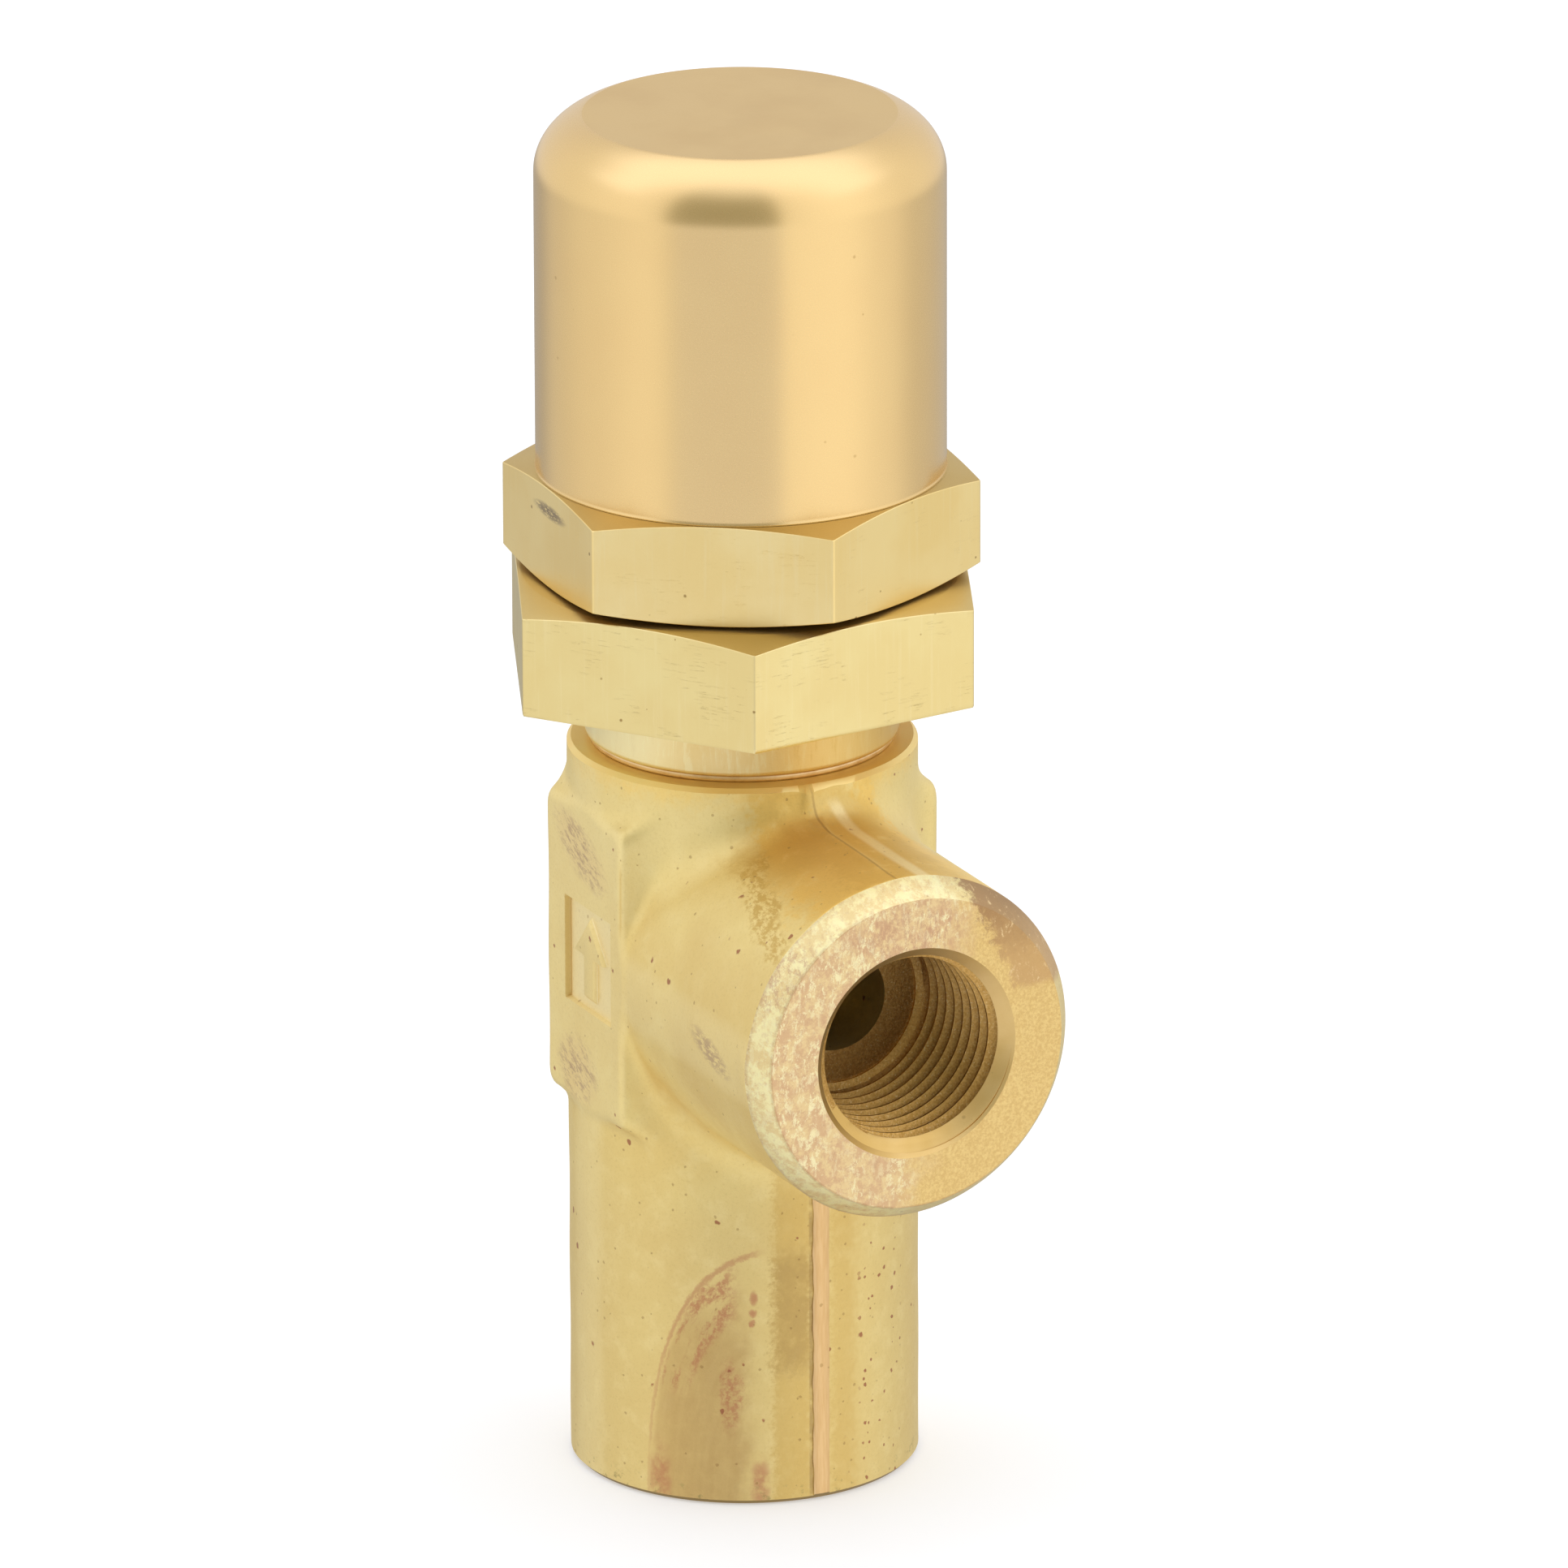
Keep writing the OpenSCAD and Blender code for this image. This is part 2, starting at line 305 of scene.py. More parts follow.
def forging(p):
    """Distance from the skin of the forging, in millimetres. Negative is inside."""
    x, y, z = p[:, 0], p[:, 1], p[:, 2]
    barrel = np.hypot(x, y) - BODY_R
    boss = np.maximum(np.hypot(y, z - OUTLET_Z) - BOSS_R, -x)
    meeting = np.clip(y / BODY_R, -1, 1) ** 2
    skin = soft_min(barrel, boss, FILLET * (1 - meeting) + 1.2)
    middle, half = (PAD_LOW + PAD_HIGH) / 2, (PAD_HIGH - PAD_LOW) / 2
    rise = PAD_Y - np.abs(y)
    sides = (np.abs(x) - PAD_X - 0.45 * rise) * 0.91
    ends = (np.abs(z - middle) - half - 0.6 * rise) * 0.86
    pad = soft_max(soft_max(sides, ends, 1.4), -rise, 0.6)
    skin = soft_min(skin, pad, 1.1)
    front = np.clip((x - 10) / 4, 0, 1)
    above = np.clip((z - OUTLET_Z - BOSS_R + 1.2) / 1.5, 0, 1) * front * np.clip((34.5 - x) / 5, 0, 1)
    along = np.clip((z - OUTLET_Z) / 5, 0, 1) * np.clip((x - BODY_R) / 3, 0, 1)
    along = along * np.clip((34.5 - x) / 3, 0, 1)
    seam = y - SEAM_Y
    ridge = 0.24 * bump((seam + 0.35) / 0.50) - 0.10 * bump((seam - 2.5) / 1.1)
    skin = skin - above * (ridge - 0.06 * bump((seam + 2.2) / 1.1))
    skin = skin - along * (0.11 * bump(seam / 0.28) - 0.04 * bump((seam - 0.9) / 0.7))
    around_boss = np.arctan2(y, z - OUTLET_Z) * BOSS_R
    skin = skin - 0.30 * bump((x - 35.3) / 0.55) * bump((around_boss + 27.5) / 1.3)
    waves = np.sin(0.31 * x + 0.17 * z + 1.7) * np.sin(0.23 * z - 0.29 * y + 0.4)
    waves = waves + np.sin(0.63 * y + 0.41 * z) * np.sin(0.57 * x)
    skin = skin + 0.022 * (1 + waves)
    skin = np.maximum(skin, np.abs(y) - PAD_Y)
    return np.maximum(skin, -BODY_R - x)


def slope(field, p, step=0.02):
    """Gradient of a distance field."""
    g = np.zeros_like(p)
    for axis in range(3):
        d = np.zeros(3)
        d[axis] = step
        g[:, axis] = (field(p + d) - field(p - d)) / (2 * step)
    return g


def forged_skin():
    """The forging as a mesh: a rough solid, remeshed finely, with every point then moved onto the skin."""
    rough = spin("forging", [(0, -3), (BODY_R, -3), (BODY_R, BODY_TOP + 3), (0, BODY_TOP + 3)], 96)
    turn = exact_turn(ALONG_X)
    boss = spin("boss", [(0, 1), (BOSS_R, 1), (BOSS_R, OUTLET_X + 3), (0, OUTLET_X + 3)], 96, frame_turn=turn)
    boss.data.transform(Matrix.Translation((0, 0, OUTLET_Z * MM)))
    boolean(rough, boss, "UNION")
    for side in (-1, 1):
        pad = box_tool("pad", (2 * PAD_X, 8, PAD_HIGH - PAD_LOW + 2),
            (0, side * (PAD_Y - 4), (PAD_HIGH + PAD_LOW) / 2))
        boolean(rough, pad, "UNION")
    mod = rough.modifiers.new("fine", "REMESH")
    mod.mode = "VOXEL"
    mod.voxel_size = SKIN_GRAIN * MM
    mod.adaptivity = 0
    mesh = bpy.data.meshes.new_from_object(rough.evaluated_get(bpy.context.evaluated_depsgraph_get()))
    rough.modifiers.clear()
    rough.data = mesh
    co = np.zeros(len(mesh.vertices) * 3)
    mesh.vertices.foreach_get("co", co)
    p = co.reshape(-1, 3) / MM
    for _ in range(6):
        g = slope(forging, p)
        d = forging(p)
        inside = (p[:, 2] > -2.4) & (p[:, 2] < BODY_TOP + 2.4) & (p[:, 0] < OUTLET_X + 2.4)
        step = -d[:, None] * g / np.maximum((g * g).sum(1), 0.25)[:, None]
        length = np.linalg.norm(step, axis=1, keepdims=True)
        p += np.where(inside[:, None], step * np.minimum(1, 0.8 / np.maximum(length, 1e-9)), 0)
    mesh.vertices.foreach_set("co", (p * MM).ravel())
    mesh.update()
    return rough


SKIN_GRAIN = 0.41
STRIP_HALF, STRIP_SHIFT, STRIP_FACE, STRIP_TOP = 0.88, -0.09, BODY_R + 0.12, 38.0


def parting_strip():
    """The sheared line of flash down the front of the inlet stem, with slightly wandering edges."""
    rows = np.arange(-2, STRIP_TOP, 0.5)
    wander = 0.05 * np.sin(rows * 0.9) + 0.035 * np.sin(rows * 2.3 + 1)
    points = []
    for z, w in zip(rows, wander):
        left, right, f = STRIP_SHIFT - STRIP_HALF + w, STRIP_SHIFT + STRIP_HALF + 0.4 * w, STRIP_FACE
        points += [(f - 1.5, left, z), (f - 0.04, left, z), (f, left + 0.06, z)]
        points += [(f, right - 0.06, z), (f - 0.04, right, z), (f - 1.5, right, z)]
    n = 6
    faces = [(k * n + i, k * n + (i + 1) % n, (k + 1) * n + (i + 1) % n, (k + 1) * n + i)
        for k in range(len(rows) - 1) for i in range(n)]
    last = (len(rows) - 1) * n
    faces += [tuple(range(n))[::-1], tuple(range(last, last + n))]
    return mesh_object("strip", points, faces)


def lathe_cut(target, name, rows, frame_turn=None, move=(0, 0, 0), operation="DIFFERENCE", columns=144):
    tool = spin(name, rows, columns, frame_turn=frame_turn)
    tool.data.transform(Matrix.Translation(Vector(move) * MM))
    return boolean(target, tool, operation)


def port_rows():
    """Cutter rows for a tapped port. Height is the distance from the port's face, negative going in."""
    crest, root = PORT_R + 1.35, PORT_R

    def radius(phase, z):
        cut = crest - 1.35 * vee(phase, 0.14)
        return np.minimum(cut, root + np.maximum(z + PORT_DEPTH - 0.5, 0))

    rows = [(0, -PORT_DEPTH), (root - 0.7, -PORT_DEPTH), (root - 0.7, -PORT_DEPTH + 0.25),
        (root, -PORT_DEPTH + 0.5)]
    rows += thread_rows(-PORT_DEPTH + 0.5, 3.0, PIPE_PITCH, radius, even_columns())
    return rows + [(0, 3.0)]


MOUTH_ROWS = [(0, -3), (PORT_MOUTH_R - 3.1, -3.1), (PORT_MOUTH_R + 2, 2), (0, 2)]


def body():
    skin = forged_skin()
    boolean(skin, parting_strip(), "UNION")
    brk = 0.45
    lathe_cut(skin, "foot", [(0, -6), (26, -6), (26, 26 - BODY_R + brk), (BODY_R - brk, 0), (0, 0)])
    lathe_cut(skin, "top", [(0, BODY_TOP), (BODY_R - brk, BODY_TOP), (18.6, BODY_TOP - 18.6 + BODY_R - brk),
        (18.6, BODY_TOP + 6), (0, BODY_TOP + 6)])
    lathe_cut(skin, "lid", [(0, BODY_TOP), (45, BODY_TOP), (45, BODY_TOP + 6), (0, BODY_TOP + 6)], columns=48)
    turn = exact_turn(ALONG_X)
    at_outlet = (OUTLET_X, 0, OUTLET_Z)
    flat_r = END_FLAT_R
    tip = flat_r + 9 * (BOSS_R - flat_r) / END_CHAMFER
    lathe_cut(skin, "boss_end", [(0, 0), (flat_r, 0), (tip, -9), (tip, 6), (0, 6)], turn, at_outlet,
        columns=192)
    inside = [(0, PORT_DEPTH - 2), (PASSAGE_R, PORT_DEPTH - 2), (PASSAGE_R, SEAT_Z - 0.3),
        (PASSAGE_R + 0.3, SEAT_Z), (7.0 - 0.2, SEAT_Z), (7.0, SEAT_Z - 0.2), (7.0, SEAT_Z - 2),
        (CHAMBER_R, SEAT_Z - 2), (CHAMBER_R, CHAMBER_TOP), (BODY_THREAD_R, CHAMBER_TOP + 1),
        (BODY_THREAD_R, BODY_TOP - 0.5), (BODY_THREAD_R + 1.5, BODY_TOP + 1), (0, BODY_TOP + 1)]
    lathe_cut(skin, "inside", inside, columns=96)
    lathe_cut(skin, "passage", [(0, 0), (PASSAGE_R, 0), (PASSAGE_R, OUTLET_X - PORT_DEPTH + 1),
        (0, OUTLET_X - PORT_DEPTH + 1)], turn, (0, 0, OUTLET_Z), columns=96)
    lathe_cut(skin, "outlet", port_rows(), turn, at_outlet)
    lathe_cut(skin, "outlet_mouth", MOUTH_ROWS, turn, at_outlet)
    flip = exact_turn(Matrix.Rotation(math.pi, 3, "X"))
    lathe_cut(skin, "inlet", port_rows(), flip)
    lathe_cut(skin, "inlet_mouth", MOUTH_ROWS, flip)
    boolean(skin, arrow_panel())
    smooth(skin, 38)
    skin.name = "valve_body"
    return skin


# ---------------------------------------------------------------- flow arrow on the pad
PANEL_X, PANEL_Z = 1.0, 54.4
PANEL_W, PANEL_H, PANEL_DEPTH = 9.8, 10.3, 0.5


def prism(name, outline, y0, y1, grow=0.0):
    """A solid between two planes across Y, with (x, z) points. Its y1 end is larger by the share grow."""
    centre = np.mean(outline, axis=0)
    far = centre + (np.array(outline) - centre) * (1 + grow)
    n = len(outline)
    points = [(x, y0, z) for x, z in outline] + [(x, y1, z) for x, z in far]
    faces = [tuple(range(n)), tuple(range(2 * n - 1, n - 1, -1))]
    faces += [(i, (i + 1) % n, n + (i + 1) % n, n + i) for i in range(n)]
    return mesh_object(name, points, faces)


def soften(obj, width, segments=2, degrees=30):
    """Bevels an object's sharp edges."""
    mod = obj.modifiers.new("soften", "BEVEL")
    mod.width = width * MM
    mod.segments = segments
    mod.limit_method = "ANGLE"
    mod.angle_limit = math.radians(degrees)
    mesh = bpy.data.meshes.new_from_object(obj.evaluated_get(bpy.context.evaluated_depsgraph_get()))
    obj.modifiers.clear()
    obj.data = mesh
    return obj


def arrow_panel():
    """A sunk panel with an upright flow arrow left standing in it."""
    floor_y = -(PAD_Y - PANEL_DEPTH)
    w, h = PANEL_W / 2, PANEL_H / 2
    panel = [(PANEL_X - w, PANEL_Z - h), (PANEL_X + w, PANEL_Z - h), (PANEL_X + w, PANEL_Z + h),
        (PANEL_X - w, PANEL_Z + h)]
    tool = prism("panel", panel, floor_y, -PAD_Y - 1.0, 0.16)
    stem, head, tall = 1.1, 3.2, 3.9
    shape = [(-stem, -tall), (stem, -tall), (stem, 0.2), (head, 0.2), (0, tall), (-head, 0.2), (-stem, 0.2)]
    shape = [(PANEL_X + x, PANEL_Z + z) for x, z in shape]
    arrow = prism("arrow", shape, -PAD_Y + 0.06, floor_y + 0.5, 0.3)
    soften(arrow, 0.12)
    boolean(tool, arrow)
    return tool


# ---------------------------------------------------------------- turned and hexagon parts
def hex_columns(turn, across_sector=48):
    """Angles for a hexagon's columns, closest together at its corners. A corner is at turn."""
    t = np.linspace(-1, 1, across_sector + 1)[:-1]
    one = 30 * np.sign(t) * np.abs(t) ** 1.9
    degrees = np.concatenate([turn + 60 * k + one for k in range(6)] + [[turn + 330]])
    return np.radians(degrees)


def hex_radius(theta, across, turn, power=400):
    """Radius of a hexagon with slightly rounded corners."""
    t = (np.degrees(theta) - turn + 30) % 60 - 30
    near = np.cos(np.radians(30 - np.abs(t)))
    far = np.cos(np.radians(30 + np.abs(t)))
    return across / 2 / (near**power + far**power) ** (1 / power)


def crowned(shape, z_face, start, up):
    """Rows over a hexagon's chamfered end and its rounded rim, going from its face out to its side."""
    edge = z_face - up * (shape - start) * HEX_SLOPE
    return [(start - 0.12, z_face), (start + 0.10, z_face - up * 0.06 * HEX_SLOPE),
        (shape - 0.22, edge + up * 0.22 * HEX_SLOPE), (shape - 0.06, edge + up * 0.01),
        (shape, edge - up * 0.06), (shape, edge - up * 0.2)]


def bonnet():
    theta = hex_columns(BONNET_TURN)
    shape = hex_radius(theta, BONNET_HEX, BONNET_TURN)
    thread_r = BODY_THREAD_R - 0.05
    rows = [(SPRING_BORE_R, BONNET_Z + 0.4), (SPRING_BORE_R + 0.4, BONNET_Z)]
    rows += male_thread(BONNET_Z, BODY_TOP - 1.0, 25.4 / 16, thread_r, 0.85, theta)
    rows += [(thread_r - 0.85, NECK_Z), (NECK_R - 0.35, NECK_Z), (NECK_R - 0.1, NECK_Z + 0.1),
        (NECK_R, NECK_Z + 0.35), (NECK_R, NECK_Z + 0.5), (NECK_R, HEX_Z - 0.5),
        (NECK_R + 0.1, HEX_Z - 0.15), (NECK_R + 0.4, HEX_Z)]
    rows += [(shape - 0.9, HEX_Z), (shape - 0.3, HEX_Z), (shape - 0.08, HEX_Z + 0.07),
        (shape, HEX_Z + 0.25), (shape, HEX_Z + 0.5)]
    start = BONNET_HEX / 2 - 0.35
    rows += crowned(shape, HEX_TOP, start, 1)[::-1]
    rows += [(CAP_THREAD_R + 0.3, HEX_TOP), (CAP_THREAD_R - 1.15, HEX_TOP)]
    rows += male_thread(HEX_TOP + 0.3, CAP_THREAD_TOP, CAP_PITCH, CAP_THREAD_R, 1.1, theta, lead=1.2)
    rows += rounded([(CAP_THREAD_R - 1.3, CAP_THREAD_TOP, 0), (TOWER_R, CAP_THREAD_TOP, 0.5),
        (TOWER_R, TOWER_TOP, 0.6), (SCREW_R + 0.6, TOWER_TOP, 0.12), (SCREW_R + 0.05, TOWER_TOP - 0.6, 0.1),
        (SCREW_R + 0.05, SPRING_BORE_TOP + 0.4, 0.1), (SCREW_R + 0.45, SPRING_BORE_TOP, 0.1),
        (SPRING_BORE_R, SPRING_BORE_TOP, 0.8), (SPRING_BORE_R, BONNET_Z + 0.4, 0)])
    return smooth(spin("bonnet_turned", rows, angles=theta))


def cap():
    theta = hex_columns(CAP_TURN)
    shape = hex_radius(theta, CAP_HEX, CAP_TURN)
    start = CAP_HEX / 2 - 0.30
    recess_r, recess_top = 18.6, CAP_Z + 1.4
    bore_r, bore_top = CAP_THREAD_R + 0.05, CAP_THREAD_TOP + 0.4
    rows = [(recess_r, CAP_Z + 0.1), (recess_r + 0.1, CAP_Z)]
    rows += crowned(shape, CAP_Z, start, -1)
    rows += crowned(shape, CAP_HEX_TOP, start, 1)[::-1][:-1]
    rows += [(CAP_R + 0.20, CAP_HEX_TOP), (CAP_R + 0.06, CAP_HEX_TOP + 0.04), (CAP_R, CAP_HEX_TOP + 0.2),
        (CAP_R, CAP_HEX_TOP + 0.35)]
    rows += [(CAP_R, z) for z in np.linspace(CAP_HEX_TOP + 2, CAP_TOP - SHOULDER_TALL - 0.3, 8)]
    disc = CAP_R - CAP_SHOULDER
    share_out, share_up = 1 - math.cos(math.radians(SHOULDER_END)), math.sin(math.radians(SHOULDER_END))
    for t in np.radians(np.linspace(0, SHOULDER_END, 25)):
        rows.append((CAP_R - CAP_SHOULDER * (1 - np.cos(t)) / share_out,
            CAP_TOP - SHOULDER_TALL * (1 - np.sin(t) / share_up)))
    rows += [(disc - 0.04, CAP_TOP), (disc - 0.2, CAP_TOP), (disc * 0.5, CAP_TOP), (0.6, CAP_TOP),
        (0, CAP_TOP)]
    rows += [(0, CAP_CAVITY_TOP)]
    rows += rounded([(1, CAP_CAVITY_TOP, 0), (CAP_CAVITY_R, CAP_CAVITY_TOP, 1.5),
        (CAP_CAVITY_R, bore_top, 0.1), (bore_r, bore_top - 0.5, 0)])

    def groove(phase, z):
        ends = np.minimum(z - recess_top, bore_top - 0.5 - z)
        return np.minimum(bore_r + 0.85 * vee(phase), bore_r + ends)

    rows += thread_rows(recess_top, bore_top - 0.5, CAP_PITCH, groove, theta)[::-1]
    rows += [(bore_r, recess_top), (recess_r, recess_top), (recess_r, CAP_Z + 0.1)]
    return smooth(spin("cap_turned", rows, angles=theta))


SHOULDER_TALL, SHOULDER_END = 5.8, 71


def locknut():
    theta = hex_columns(NUT_TURN, 24)
    shape = hex_radius(theta, NUT_HEX, NUT_TURN)
    bore = SCREW_R + 0.05
    start = NUT_HEX / 2 - 0.25

    def groove(phase, z):
        return bore + np.minimum(0.68 * vee(phase), np.minimum(z - NUT_Z, NUT_TOP - z) + 0.3)

    rows = [(bore + 0.7, NUT_Z)] + crowned(shape, NUT_Z, start, -1) + crowned(shape, NUT_TOP, start, 1)[::-1]
    rows += [(bore + 0.7, NUT_TOP)] + thread_rows(NUT_Z, NUT_TOP, FINE_PITCH, groove,
        theta)[::-1] + [(bore + 0.7, NUT_Z)]
    return smooth(spin("locknut_hex", rows, angles=theta))


def adjusting_screw():
    rows = rounded([(0, SCREW_NOSE, 0), (4.0, SCREW_NOSE, 0.9), (4.0, SCREW_NOSE + 2.4, 0.2),
        (5.4, SCREW_NOSE + 2.4, 0)])
    rows += male_thread(SCREW_NOSE + 2.4, SCREW_TOP, FINE_PITCH, SCREW_R, 0.72, even_columns(96), lead=1.0)
    rows += [(SCREW_R - 1.05, SCREW_TOP), (0, SCREW_TOP)]
    screw = spin("adjusting_screw_threaded", rows, 96)
    boolean(screw, box_tool("slot", (20, 1.8, 6), (0, 0, SCREW_TOP)))
    return smooth(screw)


def washer():
    r0, r1 = SCREW_R + 0.3, 10.5
    z0, z1 = span("locknut_washer")
    rows = rounded([(r0, z0 + 0.5, 0), (r0, z0, 0.2), (r1, z0, 0.12), (r1, z1, 0.45), (r0, z1, 0.3),
        (r0, z0 + 0.5, 0)], 5, 0.03)
    return smooth(spin("washer_stamped", rows, 120))


def ring(name, node, inner, outer, corner):
    """A flat gasket ring that fills a CAD ring's height."""
    z0, z1 = span(node)
    middle = (z0 + z1) / 2
    rows = rounded([(inner, middle, 0), (inner, z0, corner), (outer, z0, corner), (outer, z1, corner),
        (inner, z1, corner), (inner, middle, 0)], 4, 0.02)
    return smooth(spin(name, rows, 144))


def piston():
    z0, z1 = span("valve_piston")
    rows = rounded([(2.05, SEAT_Z + 9, 0), (2.05, 42.75, 0.1), (2.3, 42.6, 0), (7.55, 42.6, 0.15),
        (7.55, z0, 0.1), (8.2, z0, 0.25), (8.2, 46, 0.6), (6.4, 47.2, 0.4), (4.5, 47.2, 0.8),
        (4.5, 62.6, 0.8), (9.45, 62.6, 0.4)], 4)
    for groove_z in (64.2, 66.3, 68.4):
        rows += rounded([(9.45, groove_z - 0.5, 0), (9.45, groove_z - 0.35, 0.08),
            (9.0, groove_z - 0.35, 0.15), (9.0, groove_z + 0.35, 0.15), (9.45, groove_z + 0.35, 0.08),
            (9.45, groove_z + 0.5, 0)], 3, 0.02)
    rows += rounded([(9.45, 69.3, 0), (9.45, 70, 0.4), (5.0, 70, 0.5), (5.0, z1, 1.0), (0, z1, 0)], 4)
    rows += [(0, SEAT_Z + 9 + 0.8), (2.05, SEAT_Z + 9)]
    return smooth(spin("piston_turned", rows, 120))


def seat_disc():
    z0, z1 = span("seat_disc")
    rows = rounded([(2.05, (z0 + z1) / 2, 0), (2.05, z0, 0.2), (4.4, z0, 0.1), (4.7, z0 + 0.15, 0.1),
        (7.5, z0 + 0.15, 0.35), (7.5, z1, 0.3), (2.05, z1, 0.2), (2.05, (z0 + z1) / 2, 0)], 4, 0.02)
    return smooth(spin("seat_disc_moulded", rows, 120))


def disc_screw():
    z0, z1 = span("disc_screw")
    rows = rounded([(0, z0, 0), (2.9, z0, 0.8), (3.4, z0 + 0.7, 0.3), (3.4, 40.0, 0.15), (1.6, 40.0, 0)], 5)
    rows += male_thread(40.1, z1, 0.7, 2.0, 0.35, even_columns(72), lead=0.5) + [(0, z1)]
    screw = spin("disc_screw_slotted", rows, 72)
    boolean(screw, box_tool("slot", (12, 1.0, 1.6), (0, 0, z0)))
    return smooth(screw)


def spring_button():
    z0, z1 = span("spring_button")
    rows = rounded([(0, z0, 0), (5.0, z0, 0.9), (5.0, 99.5, 0.3), (9.2, 99.5, 0.3), (9.2, 102.2, 0.8),
        (7.2, z1, 0.6), (4.6, z1, 0.2), (4.05, z1 - 0.5, 0.1), (3.9, z1 - 1.7, 0.3), (0, z1 - 2, 0)], 4)
    return smooth(spin("spring_button_turned", rows, 120))


SPRING_SPLIT = 79.0


def spring():
    """The coil spring with closed, ground ends, as a lower and an upper piece that meet in a plane."""
    z0, z1 = span("main_spring")
    wire, mean, coils, closed, sides = 1.1, 7.6, 7.0, 0.9, 16
    bottom, top = z0 + 0.42, z1 - 0.42
    steps = int(coils * 48)
    turn = np.linspace(0, coils, steps + 1)
    pitch = 2.06 * wire
    spare = (top - bottom - 2 * closed * pitch) / (coils - 2 * closed)
    from_ends = np.minimum(turn - closed + 0.25, coils - closed + 0.25 - turn)
    rate = pitch + (spare - pitch) * np.clip(from_ends / 0.5, 0, 1)
    z = bottom + np.concatenate([[0], np.cumsum((rate[1:] + rate[:-1]) / 2 * np.diff(turn))])
    z = bottom + (z - bottom) * (top - bottom) / (z[-1] - bottom)
    angle = TURN * turn
    centre = np.stack([mean * np.cos(angle), mean * np.sin(angle), z], 1)
    along = np.gradient(centre, axis=0)
    along /= np.linalg.norm(along, axis=1, keepdims=True)
    outward = np.stack([np.cos(angle), np.sin(angle), 0 * angle], 1)
    upward = np.cross(along, outward)
    around = np.linspace(0, TURN, sides, endpoint=False)
    points = [c + wire * (math.cos(a) * o + math.sin(a) * u) for c, o, u in zip(centre, outward, upward)
        for a in around]
    faces = [(k * sides + i, k * sides + (i + 1) % sides, (k + 1) * sides + (i + 1) % sides,
        (k + 1) * sides + i) for k in range(steps) for i in range(sides)]
    faces += [tuple(range(sides)), tuple(range(steps * sides, (steps + 1) * sides))]
    halves = []
    for name, a, b in (("spring_lower_coils", z0, SPRING_SPLIT), ("spring_upper_coils", SPRING_SPLIT, z1)):
        coil = mesh_object(name, points, faces)
        boolean(coil, box_tool("slab", (30, 30, b - a), (0, 0, (a + b) / 2)), "INTERSECT")
        halves.append(smooth(coil, 40))
    return halves


# ---------------------------------------------------------------- node helpers
class Tree:
    """Short names for the nodes of a shader tree."""

    def __init__(self, tree):
        self.nodes, self.links = tree.nodes, tree.links

    def feed(self, socket, value):
        """Gives a socket a number, a colour or another node's output."""
        if isinstance(value, tuple):
            socket.default_value = (*value, 1)
        elif isinstance(value, (int, float)):
            socket.default_value = value
        else:
            self.links.new(value, socket)

    def add(self, kind, *values, **settings):
        """A new node with its settings, and the values of its first inputs."""
        node = self.nodes.new("ShaderNode" + kind)
        for name, setting in settings.items():
            setattr(node, name, setting)
        for socket, value in zip(node.inputs, values):
            self.feed(socket, value)
        return node

    def maths(self, kind, *values):
        return self.add("Math", *values, operation=kind).outputs[0]

    def times(self, a, b):
        return self.maths("MULTIPLY", a, b)

    def plus(self, a, b):
        return self.maths("ADD", a, b)

    def minus(self, a, b):
        return self.maths("SUBTRACT", a, b)

    def line(self, value, slope, start):
        """value times slope, plus start."""
        return self.maths("MULTIPLY_ADD", value, slope, start)

    def mix(self, factor, a, b):
        node = self.add("Mix", data_type="RGBA")
        for socket, value in zip((node.inputs["Factor"], *node.inputs[6:8]), (factor, a, b)):
            self.feed(socket, value)
        return node.outputs[2]

    def ramp(self, factor, stops):
        """Eases from stop to stop, each a place from 0 to 1 with a grey level or a colour."""
        node = self.add("ValToRGB", factor)
        node.color_ramp.interpolation = "EASE"
        elements = node.color_ramp.elements
        elements.remove(elements[0])
        for k, (place, colour) in enumerate(stops):
            stop = elements[0] if k == 0 else elements.new(place)
            stop.position = place
            stop.color = (*colour, 1) if isinstance(colour, tuple) else (colour, colour, colour, 1)
        return node.outputs["Color"]


